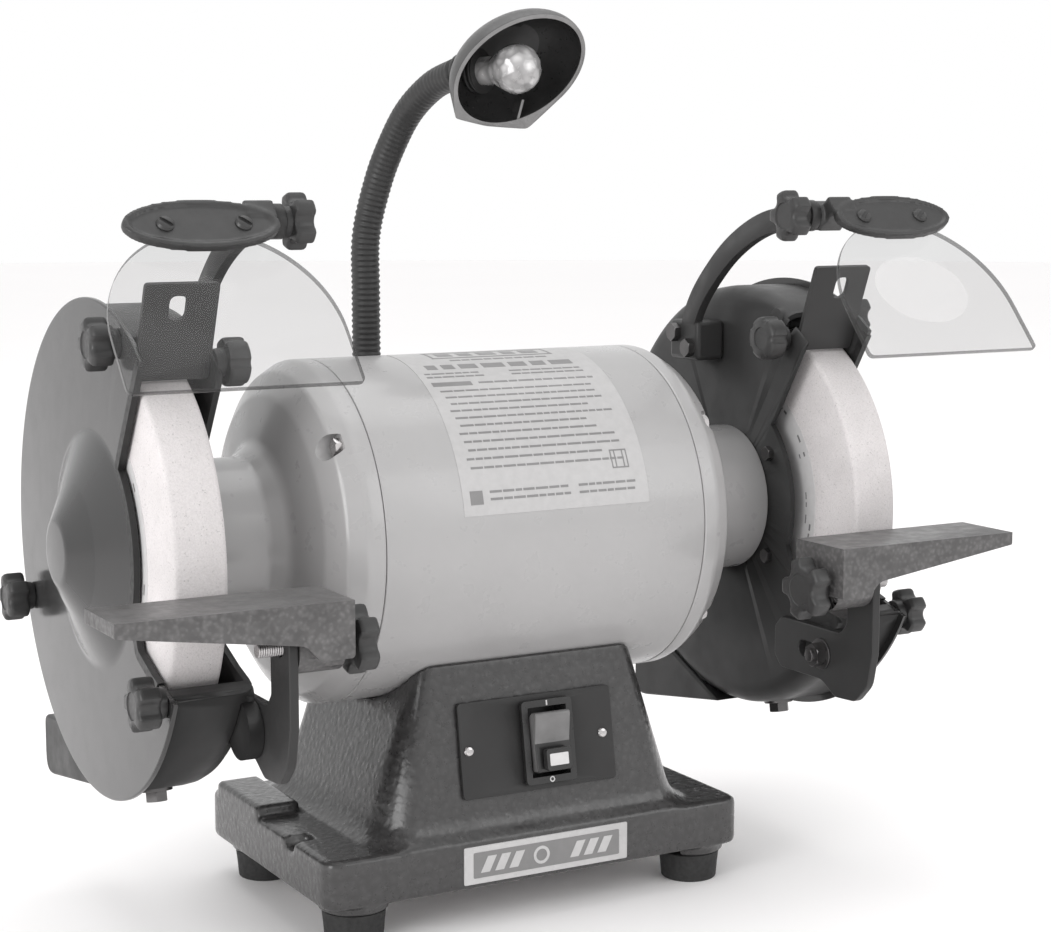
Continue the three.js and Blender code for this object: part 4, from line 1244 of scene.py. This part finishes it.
keep_pair(tool_rest, "rest_table", "rest", [REST_SIDE, REST_TOP], "rest_iron", ["tool_rest"])
keep_pair(rest_bracket, "rest_arm", "bracket", GUARD_PAINT, "dark_paint", ["rest_bracket"],
          bevel=0.8)

# ---------------------------------------------------------------- eye shields

SHIELD_PIVOT = tuple(pivot("shield_tilt_right"))[1:]
ARM_X = (144.5, 149.5)
WHEEL_MIDDLE = (WHEEL_X[0] + WHEEL_X[1]) / 2
PANE = Matrix.Translation((WHEEL_MIDDLE, -163, 91)) @ Matrix.Rotation(math.radians(-40.5), 4, "X")
PANE_HALF, PANE_SIDE, PANE_ARCH = 53, 28, 56
CLIP_HEIGHT = 84                  # up the pane, to the middle of its clip


def shield_arm():
    y, z = SHIELD_PIVOT
    points = [Vector((0, a, b)) for a, b in ((18, 84), (10, 104), (-4, 121), (-28, 140),
                                             (-58, 153), (y, z))]
    path = [(p.y, p.z) for p in curve_through(points, 8)]
    body = prism(shifted(path, 6) + shifted(path, -6)[::-1], *ARM_X)
    foot = bevelled(block((ARM_X[0], GUARD_IN - 0.3), (4, 32), (76, 98)), 2.5, segments=3)
    body = join(body, foot, rod(8, ARM_X, y, z, 48))
    return cut(body, rod(3.4, (ARM_X[0] - 1, ARM_X[1] + 1), y, z))


def shield_clip():
    """Oval spoon that holds the pane, with a barrel for the pivot bolt."""
    y, z = SHIELD_PIVOT
    oval = prism([(a, b + CLIP_HEIGHT) for a, b in ellipse(36, 13)], -4.6, -0.3, "y", PANE)
    dip = prism([(a, b + CLIP_HEIGHT) for a, b in ellipse(33, 10.4)], -6, -3.6, "y", PANE)
    x = (ARM_X[1] + 0.3, ARM_X[1] + 15)
    barrel = rod(7.5, x, y, z, 48, edge=1)
    web = block((-36, -22), (-4.3, 13), (88, 97), PANE)
    body = cast(join(cut(oval, dip), web, barrel), 0.7, 4)
    return cut(body, rod(3.4, (x[0] - 1, x[1] - 3), y, z))


def shield_pane(steps=60):
    arch = [(PANE_HALF * math.cos(t), PANE_SIDE + PANE_ARCH * math.sin(t))
            for t in (math.pi * i / steps for i in range(steps + 1))]
    outline = filleted([(-PANE_HALF, 0, 3), (PANE_HALF, 0, 3), *arch])
    body = bevelled(prism(outline, 0, 3, "y"), 0.5)
    # The edge faces take the second material, the painted shade along the pane's edge.
    paint_faces(body, 1, lambda c, n: abs(n.y) < 0.8)
    body.data.transform(PANE)
    return body


def clip_screws():
    facing = PANE.to_3x3() @ Vector((0, -1, 0))
    return gathered(*[screw_head(4.0, 2.0, PANE @ Vector((x, -3.6, CLIP_HEIGHT)), facing)
                      for x in (-19, 17)])


def magnifier():
    """Shallow lens moulded on the pane's face."""
    rings = [(1.0, 0.0), (0.985, 0.5), (0.9, 1.1), (0.7, 1.9), (0.45, 2.5), (0.2, 2.8)]
    return skinned([[(-2 + 28 * k * math.cos(t), -0.02 - h, 39 + 21 * k * math.sin(t))
                     for t in around(72)] for k, h in rings], PANE)


def arm_bolts():
    x = ARM_X[0]
    return gathered(*[hexagon(9, (x - 4, x + 0.3), y, z) for y, z in ((11, 83), (25, 91))])


keep_pair(shield_arm, "shield_bar", "base", GUARD_PAINT, "dark_paint", ["shield_arm"], bevel=0.9)
keep_pair(arm_bolts, "shield_bar_bolts", "base", DARK_STEEL, "steel")
keep_pair(shield_clip, "shield_clip", "shield", KNOB, "dark_paint", ["shield_bracket"])
keep_pair(clip_screws, "shield_clip_screws", "shield", KNOB, "steel", bevel=0.15)
keep_pair(shield_pane, "shield_sheet", "shield", [CLEAR, PANE_EDGE_PAINTED_SHADE], "clear_plastic",
          ["shield_pane"])
# The lens carries a painted sheen in its pale tone.
keep(magnifier(), "magnifier_right", "shield_right", LENS_PAINTED_SHEEN, "clear_plastic")

# ---------------------------------------------------------------- work lamp

LAMP_END = Vector((12, 35, 232))
LAMP_HEAD = Vector((29, 0, 233))
REACH = (LAMP_HEAD - LAMP_END).normalized()
MOUTH = Vector((-0.065, -0.893, -0.446)).normalized()
LONG = Vector((0.8, -0.45, 0.38))
LONG = (LONG - MOUTH * MOUTH.dot(LONG)).normalized()
HEAD = Matrix((LONG, MOUTH.cross(LONG), MOUTH)).transposed().to_4x4()
HEAD.translation = LAMP_HEAD
HOOD = (38, 29, 26)
HOOD_WALL, HOOD_MOUTH = 2.2, 3
LIP = [Vector((-41, -6.5, HOOD_MOUTH + 1)), Vector((-8, -33.5, HOOD_MOUTH + 1))]


def resampled(points, step):
    """The same path, with points a step apart."""
    out, spare = [points[0].copy()], 0.0
    for a, b in zip(points, points[1:]):
        length = (b - a).length
        at = step - spare
        while at <= length:
            point = a.lerp(b, at / length)
            if (point - out[-1]).length > step / 2:
                out.append(point)
            at += step
        spare = (spare + length) % step
    return out


def gooseneck():
    x, y = LAMP_FOOT
    bends = [(x, y, -125), (x, y, -60), (x, y, 0), (x, y, 60), (x, y, 112.5), (-12, 100, 145),
             (-6.5, 96, 174), (-1.5, 88, 195), (3, 75, 213), (8, 56, 226), tuple(LAMP_END)]
    pitch = 3.1
    path = resampled(curve_through([Vector(p) for p in bends], 40), pitch / 6)
    radii = []
    for i, point in enumerate(path):
        height = 0.62 if point.z < 150 else max(0.16, 0.62 - (point.z - 150) * 0.012)
        wave = math.cos(2 * math.pi * i / 6)
        radii.append(8.0 - height + height * (0.5 + 0.5 * wave) * 1.1)
    return swept(path, radii, 32)


def ellipsoid_points(shrink, rows=36, columns=72):
    a, b, c = (size - shrink for size in HOOD)
    return [Vector((a * math.cos(lat) * math.cos(lon), b * math.cos(lat) * math.sin(lon),
                    c * math.sin(lat)))
            for lat in (math.pi * (i / rows - 0.5) for i in range(rows + 1))
            for lon in around(columns)]


def on_reach(distance):
    """A point along the lamp's reach, in the hood's own frame."""
    return HEAD.inverted() @ (LAMP_HEAD + REACH * distance)


def hood():
    shell = hull(ellipsoid_points(0) + LIP)
    hollow = hull(ellipsoid_points(HOOD_WALL))
    collar = bar(11, on_reach(-34), on_reach(-20), 48)
    bore = bar(8.4, on_reach(-29), on_reach(-10), 40)
    body = cut(join(shell, collar), hollow)
    body = cut(body, bore, block((-60, 60), (-60, 60), (HOOD_MOUTH, 60)))
    start, way = LIP[0].lerp(LIP[1], 0.84), Vector((0.634, 0.774, 0))
    across = Vector((0.774, -0.634, 0)) * 0.7
    rib = hull([start + way * d + across * s + Vector((0, 0, h))
                for s in (-1, 1) for d, h in ((2, -1.2), (15, -3), (15, -12), (2, -9))])
    body = join(body, rib)
    bevelled(body, 0.55, 30)
    paint_faces(body, 1, lambda c, n: c.z > HOOD_MOUTH - 1.2 and n.z > 0.35)
    inside = [(size - HOOD_WALL) * 1.01 for size in HOOD]
    paint_faces(body, 2, lambda c, n: n.z < 0.9 and c.z < HOOD_MOUTH - 0.5 and
                sum((c[i] / inside[i]) ** 2 for i in range(3)) < 1)
    body.data.transform(HEAD)
    return body


def boot():
    """Ribbed rubber sleeve between the neck and the hood."""
    profile = [(7.2, 0)]
    for i in range(5):
        x, r = 1.2 + 3.1 * i, 9.3 + 0.45 * i
        profile += [(r, x), (r + 0.5, x + 1), (r + 0.5, x + 1.9), (r - 0.4, x + 2.5)]
    profile += [(11.8, 17), (7.2, 17)]
    return turned(profile, 64, aimed(LAMP_HEAD - REACH * 39.2, REACH), closed=True)


def bulb():
    profile = [(0, -27), (7.6, -27, 0.6), (7.6, -13, 2), (11.2, -6, 4)]
    for i in range(15):
        angle = math.radians(-28 + 118 * i / 14)
        profile.append((13.0 * math.cos(angle), 12.6 * math.sin(angle) + 0.4))
    profile[-1] = (0, profile[-1][1])
    body = turned(profile, 64)
    for vertex in body.data.vertices:
        if vertex.co.x > -8:
            vertex.co += vertex.co.normalized() * 0.5 * noise.noise(vertex.co * 0.28)
    body.data.transform(aimed(LAMP_HEAD - REACH, REACH))
    return body


NECK = gooseneck()
smoothed(NECK)
NECK.name = "gooseneck_hose"
NECK.data.transform(Matrix.Translation(SHAFT) @ Matrix.Scale(MM, 4))
NECK.data.materials.append(HOSE)
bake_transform(NECK)
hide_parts("gooseneck_lower", "gooseneck_upper")

keep(hood(), "lamp_hood", "head", [HOOD_OUTSIDE, HOOD_LIP, BLACK], "black_plastic", ["lamp_head"])
keep(boot(), "lamp_boot", "head", HOSE, "black_plastic", bevel=0.2)
keep(bulb(), "lamp_globe", "head", BULB, "lamp_glass", ["lamp_bulb"], sharp=50)

# ---------------------------------------------------------------- CAD nodes kept as they are

KEPT = {"bottom_plate": SHEET, "capacitor": ALUMINIUM, "stator": COPPER, "rotor": STEEL,
        "spindle_shaft": STEEL}
for side in SIDES:
    KEPT |= {f"bearing_{side}": PLATED, f"inner_flange_{side}": STEEL,
             f"outer_flange_{side}": STEEL, f"spindle_nut_{side}": PLATED}
for name, material in KEPT.items():
    node = frame["nodes"][name]
    for material_slot in node.material_slots:
        material_slot.link = "OBJECT"
        material_slot.material = material
